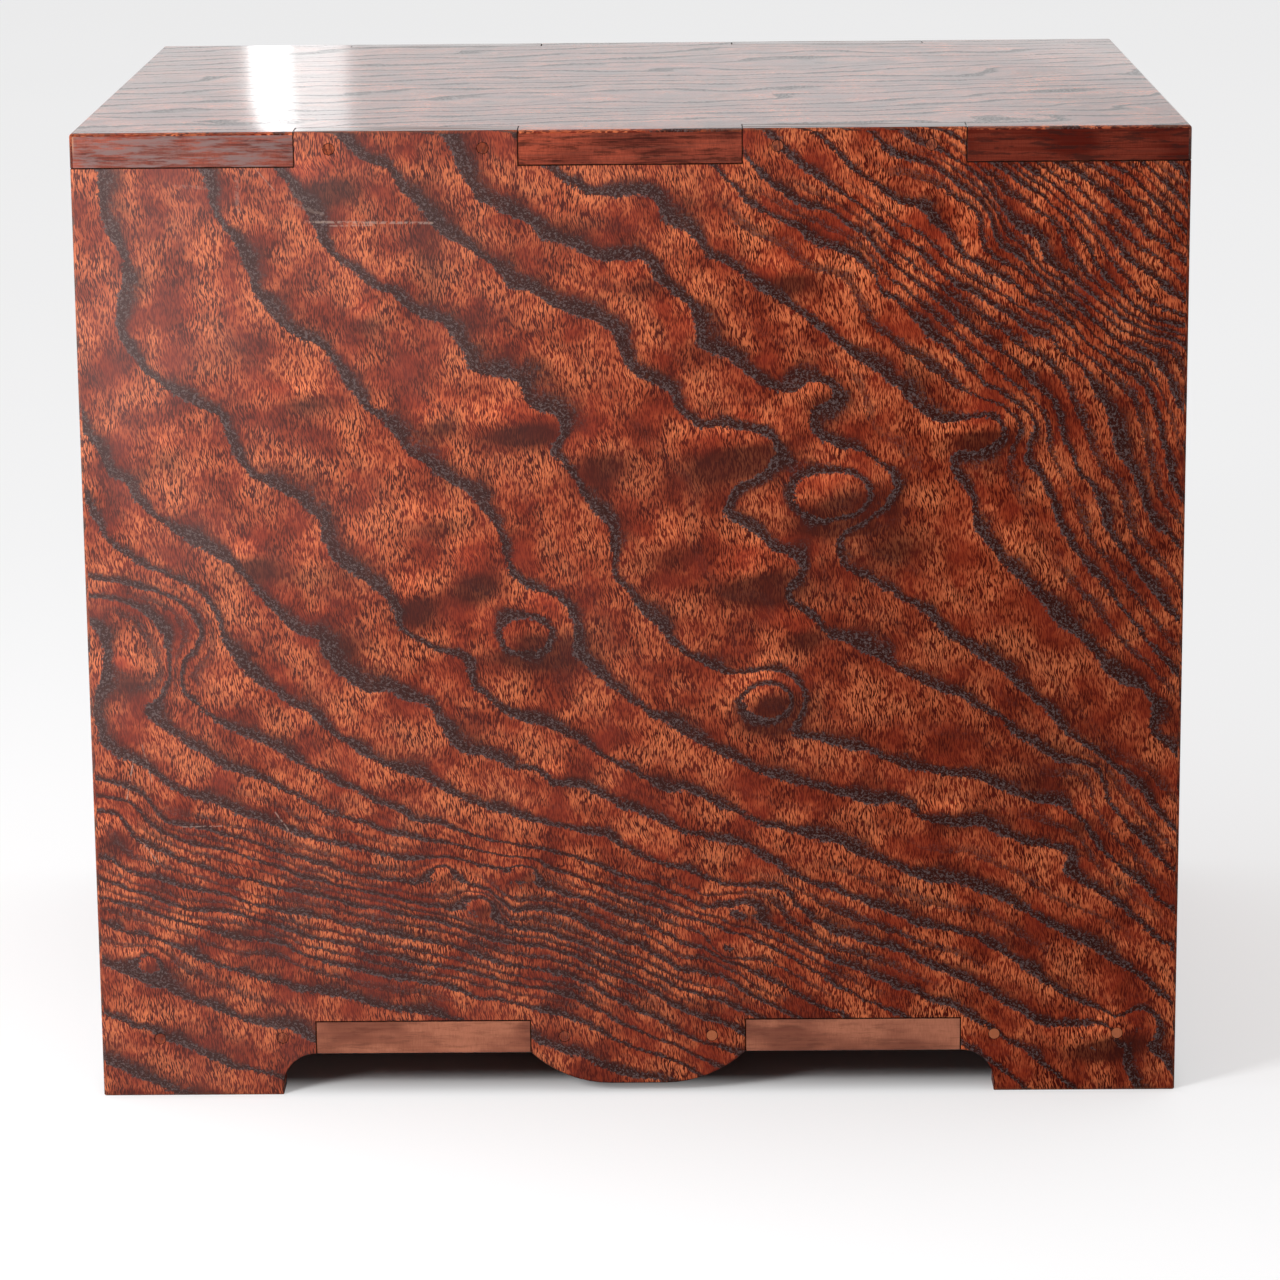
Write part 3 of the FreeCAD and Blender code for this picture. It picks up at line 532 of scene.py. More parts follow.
def finished(name, shape, body, node, finishes, kind_of_face=None):
    """Makes a piece of a mesh, gives it its finishes and its place on a body, and sets it for its node."""
    mesh = bpy.data.meshes.new(name)
    for face in shape.faces:
        face.smooth = True
        face.material_index = int(kind_of_face(face)) if kind_of_face else 0
    shape.to_mesh(mesh)
    shape.free()
    mesh.set_sharp_from_angle(angle=SHADED_ROUND)
    for finish in finishes:
        mesh.materials.append(finish)
    piece = bpy.data.objects.new(name, mesh)
    bpy.context.scene.collection.objects.link(piece)
    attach(piece, body)
    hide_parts(node)
    return piece


def sawn_edge(face):
    """1 on the end of a finger, 2 on a board's front and rear edge, 0 elsewhere."""
    middle = face.calc_center_median()
    for axis, kind in ((X, 1), (Y, 2)):
        if abs(face.normal[axis]) > 0.99 and abs(middle[axis]) > CASE_HALF_SIZE[axis] / 1000 - FLUSH:
            return kind
    return 0


base_finish = zelkova_board("base zelkova", (Y, X, Z), ring_width=8.0, lean=0.4, wander=1.2, plank=3.1)
base_end = end_grain(
    "base end grain", dark=(0.20, 0.062, 0.038, 1), light=(0.46, 0.165, 0.095, 1), greyness=0.15, plank=4.0, level=0.35)
board_edge = end_grain(
    "board edge grain", dark=(0.070, 0.010, 0.006, 1), light=(0.27, 0.040, 0.017, 1), greyness=0.45, plank=2.0)
base_finishes = (base_finish, base_end, board_edge)
finished("base_board_wood", eased_board("base_board"), "case", "base_board", base_finishes, sawn_edge)


# Side panels
# Two boards sawn from one burl plank, with two fingers at the top and, at the floor, two coved feet
# and a lobe. The right one shows the veins of the photograph and the left one is its mirror, a saw cut away.

PIXELS_PER_MM = 3.66
SHEET_STIFFNESS = 0.02
NEVER_ZERO = 1e-9
SPOTS_AT_ONCE = 4000
RINGS_THROUGH_BOARD = 0.34
PANEL_COAT = 0.22
SCRATCH_PALE = (0.42, 0.30, 0.25, 1)
PAINTED_REFLECTION_HAZE = (0.34, 0.29, 0.28, 1)

# Veins of the right panel, counted up from its lower front corner, as places in the photograph
VEINS = {
    0: ((112, 1066), (139, 1078), (165, 1088)),
    1: ((105, 1013), (124, 1021), (148, 1031), (165, 1040), (189, 1047), (206, 1057), (227, 1066), (248, 1071),
        (268, 1075), (286, 1082)),
    2: ((106, 966), (127, 975), (145, 985), (168, 990), (183, 999), (206, 1006), (227, 1015), (245, 1021),
        (268, 1027), (292, 1030), (309, 1040)),
    3: ((106, 924), (130, 935), (156, 939), (177, 949), (200, 959), (221, 966), (245, 975), (268, 981), (292, 990),
        (321, 993), (353, 1000), (386, 1009), (418, 1013), (448, 1019), (532, 1037), (555, 1049), (579, 1057),
        (602, 1066), (626, 1077)),
    4: ((105, 899), (127, 906), (150, 913), (177, 921), (200, 928), (221, 936), (242, 941), (262, 940), (283, 944),
        (298, 953), (324, 963), (353, 969), (383, 978), (409, 980), (448, 987), (479, 999), (508, 1002), (538, 1010),
        (561, 1016), (585, 1025), (608, 1037), (635, 1049), (661, 1057), (685, 1066)),
    5: ((105, 881), (130, 891), (150, 896), (169, 905), (198, 913), (227, 911), (248, 918), (271, 925), (292, 933),
        (315, 940), (339, 943), (362, 950), (389, 956), (418, 963), (449, 968), (479, 975), (508, 984), (543, 990),
        (573, 999), (596, 1010), (623, 1025), (649, 1037), (676, 1046), (702, 1060)),
    6: ((98, 858), (112, 862), (121, 868), (145, 877), (177, 884), (198, 891), (227, 896), (256, 906), (286, 913),
        (324, 919), (353, 927), (389, 936), (418, 941), (448, 946), (479, 957), (508, 966), (543, 971), (573, 978),
        (596, 990), (623, 1005), (649, 1016), (676, 1031), (699, 1043)),
    7: ((99, 811), (117, 814), (127, 826), (133, 838), (159, 852), (180, 861), (203, 869), (227, 877), (250, 881),
        (274, 888), (300, 893), (330, 899), (356, 906), (386, 912), (409, 916), (446, 924), (473, 933), (499, 943),
        (529, 946), (552, 950), (579, 959), (602, 972), (626, 981), (649, 990), (685, 1013), (714, 1022), (732, 1028)),
    8: ((99, 797), (122, 800), (138, 810), (147, 822), (160, 832), (175, 839), (192, 844), (233, 852), (256, 861),
        (274, 866), (300, 878), (330, 884), (386, 896), (418, 905), (448, 909), (500, 925), (546, 933), (580, 945),
        (610, 958), (640, 970), (665, 982)),
    9: ((98, 781), (119, 785), (142, 794), (150, 805), (159, 818), (168, 824), (198, 828), (218, 834), (245, 841),
        (271, 850), (298, 858), (324, 866), (350, 875), (383, 881), (412, 883), (478, 889), (508, 910), (543, 911),
        (567, 916), (590, 928), (620, 943), (637, 946), (655, 955), (676, 969), (702, 975), (726, 980), (746, 993),
        (770, 1005), (793, 1016)),
    10: ((92, 625), (104, 648), (104, 666), (96, 695), (94, 718), (103, 746), (118, 757), (136, 763), (153, 775),
        (171, 787), (192, 796), (215, 803), (233, 812), (256, 819), (277, 827), (292, 833), (315, 841), (345, 846),
        (371, 853), (397, 859), (427, 859), (449, 859), (499, 868), (543, 887), (567, 896), (596, 905), (623, 916),
        (655, 928), (679, 943), (702, 949), (720, 957), (746, 969), (770, 981), (799, 996), (830, 1012)),
    11: ((89, 598), (113, 600), (133, 607), (151, 619), (163, 633), (167, 648), (169, 663), (169, 678), (160, 695),
        (142, 713), (157, 725), (178, 736), (192, 748), (204, 753), (221, 766), (245, 775), (268, 783), (295, 796),
        (324, 811), (350, 821), (374, 828), (403, 837), (427, 841), (443, 843), (470, 849), (508, 857), (543, 866),
        (573, 875), (599, 886), (620, 896), (646, 905), (670, 913), (693, 919), (717, 928), (741, 933), (758, 943),
        (779, 952), (805, 966), (819, 975), (843, 991), (866, 1002), (893, 1013)),
    12: ((88, 578), (110, 582), (131, 586), (157, 592), (178, 601), (192, 616), (200, 633), (192, 651), (181, 666),
        (179, 681), (186, 695), (201, 710), (222, 725), (242, 736), (266, 745), (286, 755), (310, 769), (333, 782),
        (357, 792), (378, 803), (398, 811), (420, 822), (441, 825), (464, 833), (488, 840), (517, 846), (546, 850),
        (576, 858), (602, 869), (632, 880), (658, 887), (685, 899), (702, 908), (726, 906), (758, 922), (782, 934),
        (811, 949), (834, 962), (858, 971), (881, 981), (908, 991), (931, 1002), (955, 1008), (972, 1018),
        (993, 1030), (1013, 1043), (1034, 1057), (1055, 1075)),
    13: ((88, 504), (98, 528), (113, 545), (131, 560), (151, 569), (172, 578), (189, 585), (204, 598), (217, 616),
        (220, 636), (233, 657), (248, 675), (266, 689), (286, 701), (304, 710), (322, 725), (339, 739), (357, 751),
        (378, 763), (401, 772), (420, 778), (438, 787), (464, 800), (491, 809), (517, 818), (543, 825), (573, 831),
        (602, 834), (623, 847), (649, 859), (676, 868), (699, 877), (726, 886), (752, 887), (782, 889), (793, 902),
        (808, 917), (828, 930), (855, 938), (878, 946), (902, 952), (919, 962), (943, 972), (966, 981), (987, 993),
        (1008, 1005), (1025, 1016), (1040, 1025), (1063, 1025), (1084, 1022), (1102, 1025)),
    14: ((82, 426), (98, 452), (110, 476), (128, 483), (133, 498), (151, 516), (169, 528), (192, 542), (213, 554),
        (231, 566), (248, 583), (266, 604), (283, 622), (298, 635), (316, 638), (322, 654), (333, 669), (351, 683),
        (369, 694), (389, 690), (404, 698), (429, 705), (438, 722), (449, 742), (467, 754), (491, 757), (508, 766),
        (538, 772), (549, 785), (585, 788), (608, 800), (632, 811), (655, 819), (676, 829), (702, 837), (738, 844),
        (758, 855), (779, 869), (802, 881), (834, 890), (855, 900), (878, 909), (899, 916), (919, 927), (949, 931),
        (978, 938), (996, 950), (1013, 961), (1034, 975), (1055, 990), (1078, 1002), (1108, 1013), (1125, 1028),
        (1140, 1040), (1158, 1058), (1172, 1072)),
    15: ((98, 176), (100, 205), (103, 229), (114, 243), (124, 261), (122, 285), (116, 308), (117, 329), (131, 355),
        (148, 376), (172, 392), (195, 405), (220, 417), (226, 432), (231, 446), (239, 463), (251, 477), (275, 488),
        (298, 499), (304, 507), (319, 516), (322, 536), (331, 557), (351, 572), (369, 583), (386, 598), (395, 613),
        (398, 631), (416, 639), (436, 652), (467, 660), (470, 681), (485, 698), (499, 710), (517, 720), (538, 725),
        (561, 732), (579, 741), (596, 754), (614, 763), (635, 775), (655, 786), (673, 792), (693, 792), (714, 804),
        (738, 813), (761, 825), (790, 831), (811, 837), (837, 844), (858, 853), (884, 863), (908, 874), (928, 881),
        (955, 883), (978, 890), (1002, 900), (1025, 911), (1043, 922), (1069, 937), (1093, 949), (1116, 963),
        (1140, 978), (1161, 996), (1175, 1008)),
    16: ((208, 188), (211, 211), (225, 229), (236, 243), (245, 267), (254, 291), (266, 308), (279, 323), (295, 335),
        (316, 343), (331, 361), (342, 379), (357, 399), (372, 414), (386, 424), (398, 441), (410, 455), (420, 458),
        (435, 473), (449, 482), (467, 492), (485, 510), (499, 531), (505, 554), (511, 575), (523, 586), (546, 591),
        (564, 604), (576, 622), (573, 654), (588, 669), (605, 683), (626, 698), (646, 713), (670, 725), (691, 739),
        (714, 750), (735, 760), (755, 772), (779, 778), (799, 786), (816, 788), (843, 796), (869, 803), (899, 802),
        (928, 822), (955, 825), (981, 827), (1002, 836), (1025, 843), (1049, 846), (1069, 855), (1063, 872),
        (1084, 884), (1108, 899), (1128, 913), (1149, 931), (1172, 949)),
    17: ((283, 179), (304, 205), (316, 229), (322, 246), (336, 261), (354, 273), (375, 288), (395, 296), (407, 310),
        (428, 320), (441, 323), (452, 335), (464, 352), (470, 370), (485, 375), (517, 379), (523, 396), (535, 410),
        (552, 414), (564, 426), (554, 443), (549, 452), (564, 466), (579, 484), (588, 504), (608, 525), (611, 548),
        (614, 575), (626, 592), (643, 613), (661, 633), (679, 651), (699, 663), (720, 672), (741, 675), (761, 670),
        (782, 671), (799, 684), (804, 701), (796, 720), (790, 733), (813, 739), (837, 747), (863, 751), (887, 760),
        (913, 769), (943, 775), (966, 775), (990, 783), (1011, 795), (1034, 801), (1060, 804), (1080, 820),
        (1102, 852), (1128, 875), (1146, 890), (1172, 911)),
    18: ((347, 147), (362, 160), (386, 167), (398, 185), (410, 200), (425, 215), (440, 235), (461, 243), (476, 255),
        (496, 267), (511, 288), (532, 291), (549, 302), (570, 314), (596, 320), (612, 332), (623, 355), (632, 370),
        (649, 382), (670, 393), (679, 411), (693, 426), (726, 427), (752, 429), (773, 441), (778, 453), (767, 468),
        (746, 481), (735, 487), (728, 497), (722, 513), (741, 525), (758, 535), (770, 547), (791, 556), (801, 564),
        (799, 576), (785, 589), (786, 604), (805, 611), (828, 636), (849, 642), (866, 654), (887, 663), (908, 678),
        (928, 686), (955, 695), (978, 707), (1002, 719), (1016, 736), (1040, 748), (1055, 760), (1078, 763),
        (1096, 768), (1111, 808), (1131, 828), (1152, 852), (1175, 872)),
    19: ((452, 149), (464, 179), (476, 199), (496, 208), (529, 223), (543, 238), (564, 243), (579, 252), (596, 261),
        (620, 261), (643, 258), (655, 276), (673, 293), (691, 308), (695, 326), (695, 343), (714, 355), (732, 358),
        (743, 373), (761, 385), (779, 391), (796, 391), (805, 382), (818, 379), (830, 383), (835, 393), (828, 404),
        (812, 408), (809, 420), (817, 438), (835, 446), (862, 452), (885, 467), (896, 487), (884, 507), (863, 522),
        (843, 531), (836, 551), (846, 569), (866, 578), (884, 589), (905, 601), (922, 610), (937, 628), (955, 642),
        (975, 653), (996, 666), (1013, 683), (1031, 698), (1046, 710), (1063, 731), (1084, 745), (1102, 757),
        (1119, 772), (1134, 786), (1149, 804), (1175, 832)),
    20: ((586, 193), (611, 199), (637, 193), (655, 199), (664, 223), (685, 229), (696, 241), (708, 258), (732, 267),
        (746, 279), (770, 296), (800, 314), (817, 326), (835, 343), (856, 358), (873, 370), (894, 385), (909, 402),
        (923, 414), (944, 423), (965, 420), (988, 417), (1003, 424), (1003, 437), (982, 449), (955, 453), (950, 465),
        (957, 478), (972, 501), (975, 525), (987, 545), (1002, 563), (1019, 578), (1034, 592), (1046, 607),
        (1058, 625), (1075, 636), (1093, 651), (1105, 672), (1122, 683), (1143, 689), (1154, 707), (1149, 731),
        (1161, 742), (1175, 754)),
    21: ((726, 179), (741, 196), (758, 211), (779, 221), (799, 230), (817, 246), (838, 251), (859, 261), (873, 273),
        (879, 291), (897, 302), (912, 320), (929, 338), (947, 346), (962, 364), (982, 382), (1000, 393), (1018, 405),
        (1032, 417), (1035, 429), (1027, 443), (1025, 461), (1040, 477), (1052, 498), (1057, 522), (1069, 545),
        (1084, 563), (1099, 580), (1113, 598), (1128, 616), (1143, 636), (1163, 660), (1175, 672)),
    22: ((761, 176), (776, 188), (799, 205), (829, 212), (844, 223), (865, 235), (882, 258), (903, 273), (923, 288),
        (947, 308), (965, 326), (988, 343), (1012, 361), (1029, 379), (1050, 399), (1059, 417), (1062, 435),
        (1071, 455), (1081, 475), (1096, 495), (1105, 528), (1122, 554), (1143, 578), (1161, 601), (1178, 622)),
    23: ((809, 173), (835, 191), (859, 205), (876, 220), (897, 238), (918, 249), (935, 270), (959, 288), (982, 299),
        (1006, 314), (1029, 332), (1050, 339), (1065, 355), (1082, 370), (1094, 391), (1106, 408), (1112, 432),
        (1118, 452), (1132, 470), (1140, 495), (1152, 525), (1175, 542)),
    24: ((853, 170), (876, 188), (897, 202), (923, 211), (947, 238), (965, 258), (988, 273), (1012, 285), (1035, 302),
        (1056, 314), (1073, 329), (1094, 349), (1118, 367), (1141, 385), (1153, 402), (1159, 426), (1165, 460),
        (1173, 490)),
    25: ((876, 138), (888, 155), (923, 162), (940, 172), (959, 185), (979, 200), (991, 216), (993, 232), (1003, 249),
        (1020, 257), (1035, 273), (1053, 288), (1073, 305), (1094, 323), (1118, 341), (1141, 352), (1162, 370),
        (1176, 400)),
    26: ((912, 141), (940, 150), (967, 168), (985, 185), (1000, 208), (1018, 229), (1041, 241), (1044, 261),
        (1065, 275), (1094, 297), (1123, 320), (1147, 332), (1179, 343)),
    27: ((1000, 170), (1018, 180), (1040, 195), (1064, 215), (1076, 232), (1090, 250), (1096, 267), (1112, 285),
        (1129, 302), (1147, 317), (1176, 326)),
    28: ((1029, 170), (1053, 185), (1076, 205), (1094, 223), (1109, 238), (1123, 255), (1147, 273), (1165, 288),
        (1182, 302)),
    29: ((1082, 176), (1109, 199), (1129, 220), (1153, 238), (1179, 258)),
    30: ((1110, 166), (1132, 178), (1150, 196), (1171, 217), (1185, 232)),
    31: ((1147, 167), (1171, 191), (1185, 205)),
}
# Closed eyes in the figure: middle, half width and half height in the photograph, then the ring counts
# that their outline and their middle have
EYES = (
    (831, 495, 38, 24, 18.0, 17.6),
    (526, 635, 25, 17, 15.0, 14.7),
    (767, 701, 24, 18, 16.0, 15.6),
    (443, 875, 10, 9, 9.0, 8.8),
    (523, 874, 13, 10, 10.0, 9.8),
    (479, 907, 16, 10, 8.0, 7.8),
    (743, 912, 14, 10, 12.0, 11.8),
    (728, 947, 9, 8, 11.0, 10.8),
    (148, 964, 11, 9, 2.0, 1.8),
    (1108, 1036, 30, 11, 13.0, 12.7),
)
# Places between the veins where no vein runs, with the count there
QUIET = ((770, 606, 17.5), (748, 600, 17.5), (700, 500, 17.6), (690, 540, 17.5), (815, 600, 18.35))
# Swellings of the burl: middle, half width, half height, and how strongly each catches the light above
# and is shaded below
SWELLINGS = (
    (831, 493, 44, 30, 1.0), (540, 632, 48, 32, 0.9), (770, 696, 34, 28, 1.0), (817, 393, 21, 17, 0.8),
    (322, 180, 30, 19, 0.9), (366, 317, 16, 13, 0.8), (298, 397, 30, 13, 0.8), (437, 418, 18, 15, 1.0),
    (515, 424, 42, 17, 1.0), (745, 443, 46, 24, 1.0), (757, 573, 40, 23, 1.1), (800, 631, 20, 15, 0.9),
    (975, 431, 36, 17, 0.9), (1012, 238, 26, 15, 0.5), (250, 556, 25, 15, 1.0), (125, 676, 22, 17, 0.8),
    (110, 832, 20, 17, 0.7), (147, 963, 15, 11, 0.7), (237, 925, 17, 11, 0.9), (268, 946, 16, 9, 0.5),
    (443, 873, 13, 11, 0.7), (523, 872, 17, 13, 0.7), (479, 904, 18, 13, 0.7), (743, 909, 18, 13, 0.6),
    (729, 946, 13, 11, 0.5), (702, 998, 26, 11, 0.4), (1105, 1036, 42, 17, 1.1), (472, 573, 27, 23, 0.9),
    (412, 598, 23, 21, 0.9), (335, 638, 25, 21, 0.6), (562, 774, 16, 11, 0.8), (640, 278, 19, 13, 0.7),
    (785, 274, 28, 15, 0.8), (600, 452, 28, 24, 0.6), (430, 521, 30, 13, 0.6), (950, 816, 28, 11, 0.8),
    (1075, 818, 20, 13, 0.7), (160, 453, 17, 15, 0.5), (560, 220, 34, 18, 0.5), (700, 330, 30, 22, 0.5),
    (440, 470, 30, 18, 0.4), (330, 560, 40, 26, 0.4), (215, 330, 40, 30, 0.3), (660, 545, 40, 22, 0.4),
    (880, 540, 36, 20, 0.4),
)
# Painted shade under swellings and broad darker tone, paler with a minus: middle, half width, half height, depth of
# tone
PAINTED_SHADE_AND_TONE = (
    (1010, 610, 250, 230, 0.2), (700, 560, 130, 120, 0.1), (960, 225, 190, 100, -0.45), (1000, 540, 60, 90, -0.2),
    (846, 528, 46, 9, 0.75), (895, 506, 9, 20, 0.5), (525, 658, 44, 9, 0.6), (526, 637, 17, 9, 0.55),
    (768, 727, 28, 8, 0.6), (768, 703, 14, 9, 0.4), (757, 592, 34, 9, 0.6), (735, 462, 40, 12, 0.5),
    (980, 441, 26, 8, 0.5), (326, 190, 26, 9, 0.5), (515, 436, 38, 9, 0.4), (472, 592, 26, 18, 0.4),
    (411, 612, 20, 22, 0.3), (270, 577, 34, 10, 0.4), (1096, 1054, 28, 7, 0.6), (430, 250, 16, 60, 0.45),
    (590, 470, 26, 30, 0.35), (340, 640, 22, 26, 0.3), (700, 480, 40, 22, 0.4), (1060, 770, 70, 40, 0.25),
    (900, 545, 40, 22, 0.25), (150, 250, 30, 60, 0.12), (790, 285, 34, 20, 0.35),
)
# Where a finer vein runs between each two: middle, half width, half height, strength
FINE_VEINS = (
    (1040, 300, 200, 190, 1.0), (1130, 560, 70, 170, 0.8), (600, 940, 420, 70, 0.9), (250, 900, 200, 110, 0.7),
    (980, 900, 200, 60, 0.5), (1110, 820, 90, 80, 0.6), (820, 240, 120, 60, 0.6), (160, 640, 60, 60, 0.6),
)
# Scratches: both ends in the photograph, width in mm and strength
SCRATCHES = (
    (305, 222, 432, 223, 0.5, 0.5),
    (330, 226, 372, 225, 0.35, 0.4),
    (134, 757, 127, 799, 0.28, 0.6),
    (142, 745, 152, 782, 0.2, 0.4),
    (143, 843, 158, 862, 0.3, 0.5),
    (182, 827, 222, 826, 0.25, 0.5),
    (275, 812, 293, 836, 0.3, 0.5),
    (243, 155, 274, 190, 0.25, 0.35),
    (66, 236, 72, 246, 0.5, 0.7),
    (236, 182, 238, 212, 0.9, 0.22),
    (176, 186, 205, 188, 0.7, 0.2),
    (290, 204, 322, 214, 0.8, 0.2),
)


def on_side_panel(column, row):
    """The place on the photographed panel, in millimetres along and up, that a pixel of the photograph shows."""
    across = (column - PHOTO_WIDTH / 2) / FOCAL_LENGTH_IN_PIXELS
    down = (row - PHOTO_WIDTH / 2) / FOCAL_LENGTH_IN_PIXELS
    ray = sight + view_right * across + view_down * down
    place = VIEWPOINT + ray * ((cad_box[1].x - VIEWPOINT.x) / ray.x)
    return place.y * 1000, place.z * 1000


def bent_sheet(places, counts, stiffness):
    """The weights of the smoothest sheet that passes the given counts at the given places."""
    apart = ((places[:, None] - places[None]) ** 2).sum(-1)
    kernel = apart * np.log(apart + NEVER_ZERO) / 2 + np.eye(len(places)) * stiffness
    flat = np.column_stack([np.ones(len(places)), places])
    system = np.block([[kernel, flat], [flat.T, np.zeros((3, 3))]])
    return np.linalg.solve(system, np.concatenate([counts, np.zeros(3)]))


def sheet_at(weights, places, spots):
    """The sheet's count and its slope at each spot."""
    count, slope = np.empty(len(spots)), np.empty((len(spots), 2))
    for start in range(0, len(spots), SPOTS_AT_ONCE):
        part = slice(start, start + SPOTS_AT_ONCE)
        gap = spots[part, None] - places[None]
        apart = (gap ** 2).sum(-1)
        log = np.log(apart + NEVER_ZERO)
        count[part] = (apart * log / 2) @ weights[:-3] + weights[-3] + spots[part] @ weights[-2:]
        slope[part] = np.einsum("ijk,ij,j->ik", gap, log + 1, weights[:-3]) + weights[-2:]
    return count, slope


# The sheet of ring counts: each vein holds its own number, and the wood between them what lies between
counted = []
for count, trace in VEINS.items():
    for here, following in zip(trace, trace[1:]):
        counted += [(*here, count), ((here[0] + following[0]) / 2, (here[1] + following[1]) / 2, count)]
    counted.append((*trace[-1], count))
for column, row, half_width, half_height, rim, middle in EYES:
    for turn in (math.radians(30 * step) for step in range(12)):
        counted.append((column + half_width * math.cos(turn), row + half_height * math.sin(turn), rim))
    counted.append((column, row, middle))
counted += QUIET
vein_places = np.array([on_side_panel(column, row) for column, row, count in counted]) / 10
panel_sheet = bent_sheet(vein_places, np.array([count for column, row, count in counted], float), SHEET_STIFFNESS)


def off_middle(spots, column, row, half_width, half_height):
    """How far spots lie along and up from the middle of an oval of the photograph, where 1 is its rim."""
    return ((spots - on_side_panel(column, row)) / (np.array((half_width, half_height)) / PIXELS_PER_MM)).T


def painted_burl_shading(spots):
    """Painted light and shade at places in mm: swellings lit from the upper left, and painted shade and tone."""
    painted_shading = np.zeros(len(spots))
    for *oval, strength in SWELLINGS:
        along, up = off_middle(spots, *oval)
        painted_shading += strength * (up - 0.45 * along) * 1.8 * np.exp(-(along ** 2) - up ** 2)
    for *oval, depth in PAINTED_SHADE_AND_TONE:
        along, up = off_middle(spots, *oval)
        painted_shading -= depth * np.exp(-(along ** 2) - up ** 2)
    return np.clip(painted_shading, -1, 1)


def fine_veins(spots):
    """How strong the finer veins are at places in mm."""
    strength = np.full(len(spots), 0.1)
    for *oval, share in FINE_VEINS:
        along, up = off_middle(spots, *oval)
        strength = np.maximum(strength, share * np.clip(1.6 - 1.2 * (along ** 2 + up ** 2), 0, 1))
    return strength


def squared_paper(shape, side, step):
    """Cuts the panel's outer face into small squares, so that the veins can be drawn on its corners."""
    outer = cad_box[1].x * side
    parts = [
        face for face in shape.faces
        if face.normal.x * side > 0.99 and abs(face.calc_center_median().x - outer) < FLUSH
    ]
    for axis, normal in ((Y, Vector((0, 1, 0))), (Z, Vector((0, 0, 1)))):
        low, high = ((CASE_MIDDLE[axis] + sign * CASE_HALF_SIZE[axis]) / 1000 for sign in (-1, 1))
        done, rest = [], parts
        for count in range(1, int((high - low) / step) + 1):
            level = low + count * step
            touched = dict.fromkeys(part for face in rest for part in (*face.verts, *face.edges, face))
            cut = bmesh.ops.bisect_plane(
                shape, geom=list(touched), dist=1e-7, plane_co=normal * level, plane_no=normal)
            rest = []
            for face in cut["geom"]:
                if isinstance(face, bmesh.types.BMFace):
                    (rest if face.calc_center_median()[axis] > level else done).append(face)
            if not rest:
                break
        parts = done + rest
    return shape


def draw_veins(piece, mirrored):
    """Writes the vein count, the veins' closeness and the painted light and shade on each corner of a panel."""
    corners = np.empty(len(piece.data.vertices) * 3)
    piece.data.vertices.foreach_get("co", corners)
    spots = corners.reshape(-1, 3)[:, 1:] * 1000
    if mirrored:
        # A saw cut further into the plank, its veins wander off by a few millimetres
        spots = spots + np.column_stack([np.sin(spots[:, 1] / 31) * 3.5, np.sin(spots[:, 0] / 27) * 3.0])
    count, slope = sheet_at(panel_sheet, vein_places, spots / 10)
    closeness = np.clip(np.hypot(*slope.T) / 10, 0.008, 0.6)
    drawings = {"ring": count, "closeness": closeness, "between": fine_veins(spots), "painted_shading": painted_burl_shading(spots)}
    for label, numbers in drawings.items():
        drawn = piece.data.attributes.new(label, "FLOAT", "POINT")
        drawn.data.foreach_set("value", numbers.astype(np.float32))


# A scratch is a thin line between two places on the panel, and skips where the tool did
scratch, given, made = effect_group(
    "scratch",
    {
        "Place": ("Vector", (0, 0, 0)), "Start": ("Vector", (0, 0, 0)), "End": ("Vector", (0, 0, 0)),
        "Width": ("Float", 0.3),
    },
    {"Scratch": "Float"},
)
run = of_vectors(scratch, "SUBTRACT", given["End"], given["Start"])
gone = of_vectors(scratch, "SUBTRACT", given["Place"], given["Start"])
gone_along, run_squared = (Field(scratch, of_vectors(scratch, "DOT_PRODUCT", path, run)) for path in (gone, run))
nearest = of_vectors(scratch, "SCALE", run, (gone_along / run_squared).most(0.0).least(1.0))
off_line = Field(scratch, of_vectors(scratch, "LENGTH", of_vectors(scratch, "SUBTRACT", gone, nearest)))
skips = mottle(scratch, given["Place"], 0.9, 2, 0.7).rising(0.4, 0.55)
join(scratch, (1.0 - off_line.rising(given["Width"] * 0.3, given["Width"])) * skips, made["Scratch"])


def panel_finish(name, scratches):
    """Figured zelkova with its rings drawn on the panel, scratches, and a painted reflection haze on the lacquer."""
    finish, tree, shader, place, (x, y, z) = new_finish(name)
    sunk = CASE_HALF_SIZE[X] - x.size()
    on_edge = y.size().rising(151.2, 151.42)
    # Painted light and shade of the swellings comes from the corners, as drawn with the veins
    look = apply_effect(
        tree, figure, Across=y, Along=z, Deep=x,
        Ring=attribute(tree, "ring") + sunk * RINGS_THROUGH_BOARD,
        Rings_per_mm=attribute(tree, "closeness").most(on_edge * RINGS_THROUGH_BOARD),
        Between=attribute(tree, "between"), Relief=attribute(tree, "painted_shading"),
    )
    colour, outer = look["Color"], cad_box[1].x * 1000
    for first_column, first_row, last_column, last_row, width, strength in scratches:
        start = (outer, *on_side_panel(first_column, first_row))
        end = (outer, *on_side_panel(last_column, last_row))
        mark = apply_effect(tree, scratch, Place=place, Start=start, End=end, Width=width)["Scratch"]
        colour = blend(tree, mark * strength, colour, SCRATCH_PALE)
    dull = mottle(tree, place, 0.02, 3, 0.6).rising(0.2, 0.8) * 0.5 + 0.5
    # A painted reflection: a pale haze towards the front and the upper front corner, broken by a mottle
    reflection_haze = (y * -1).rising(-110.0, 150.0) * 0.09 + (z - y - 190).rising(0.0, 190.0) * 0.1
    look["Color"] = blend(tree, reflection_haze * dull * (1.0 if scratches else 0.5), colour, PAINTED_REFLECTION_HAZE)
    lacquered(tree, shader, look, place, CASE_MIDDLE, CASE_HALF_SIZE, PANEL_COAT)
    return finish


def is_upper_end(face):
    """Whether a face is end grain that shows in the chest's top."""
    return face.normal.z > 0.99 and face.calc_center_median().z > cad_box[1].z - FLUSH


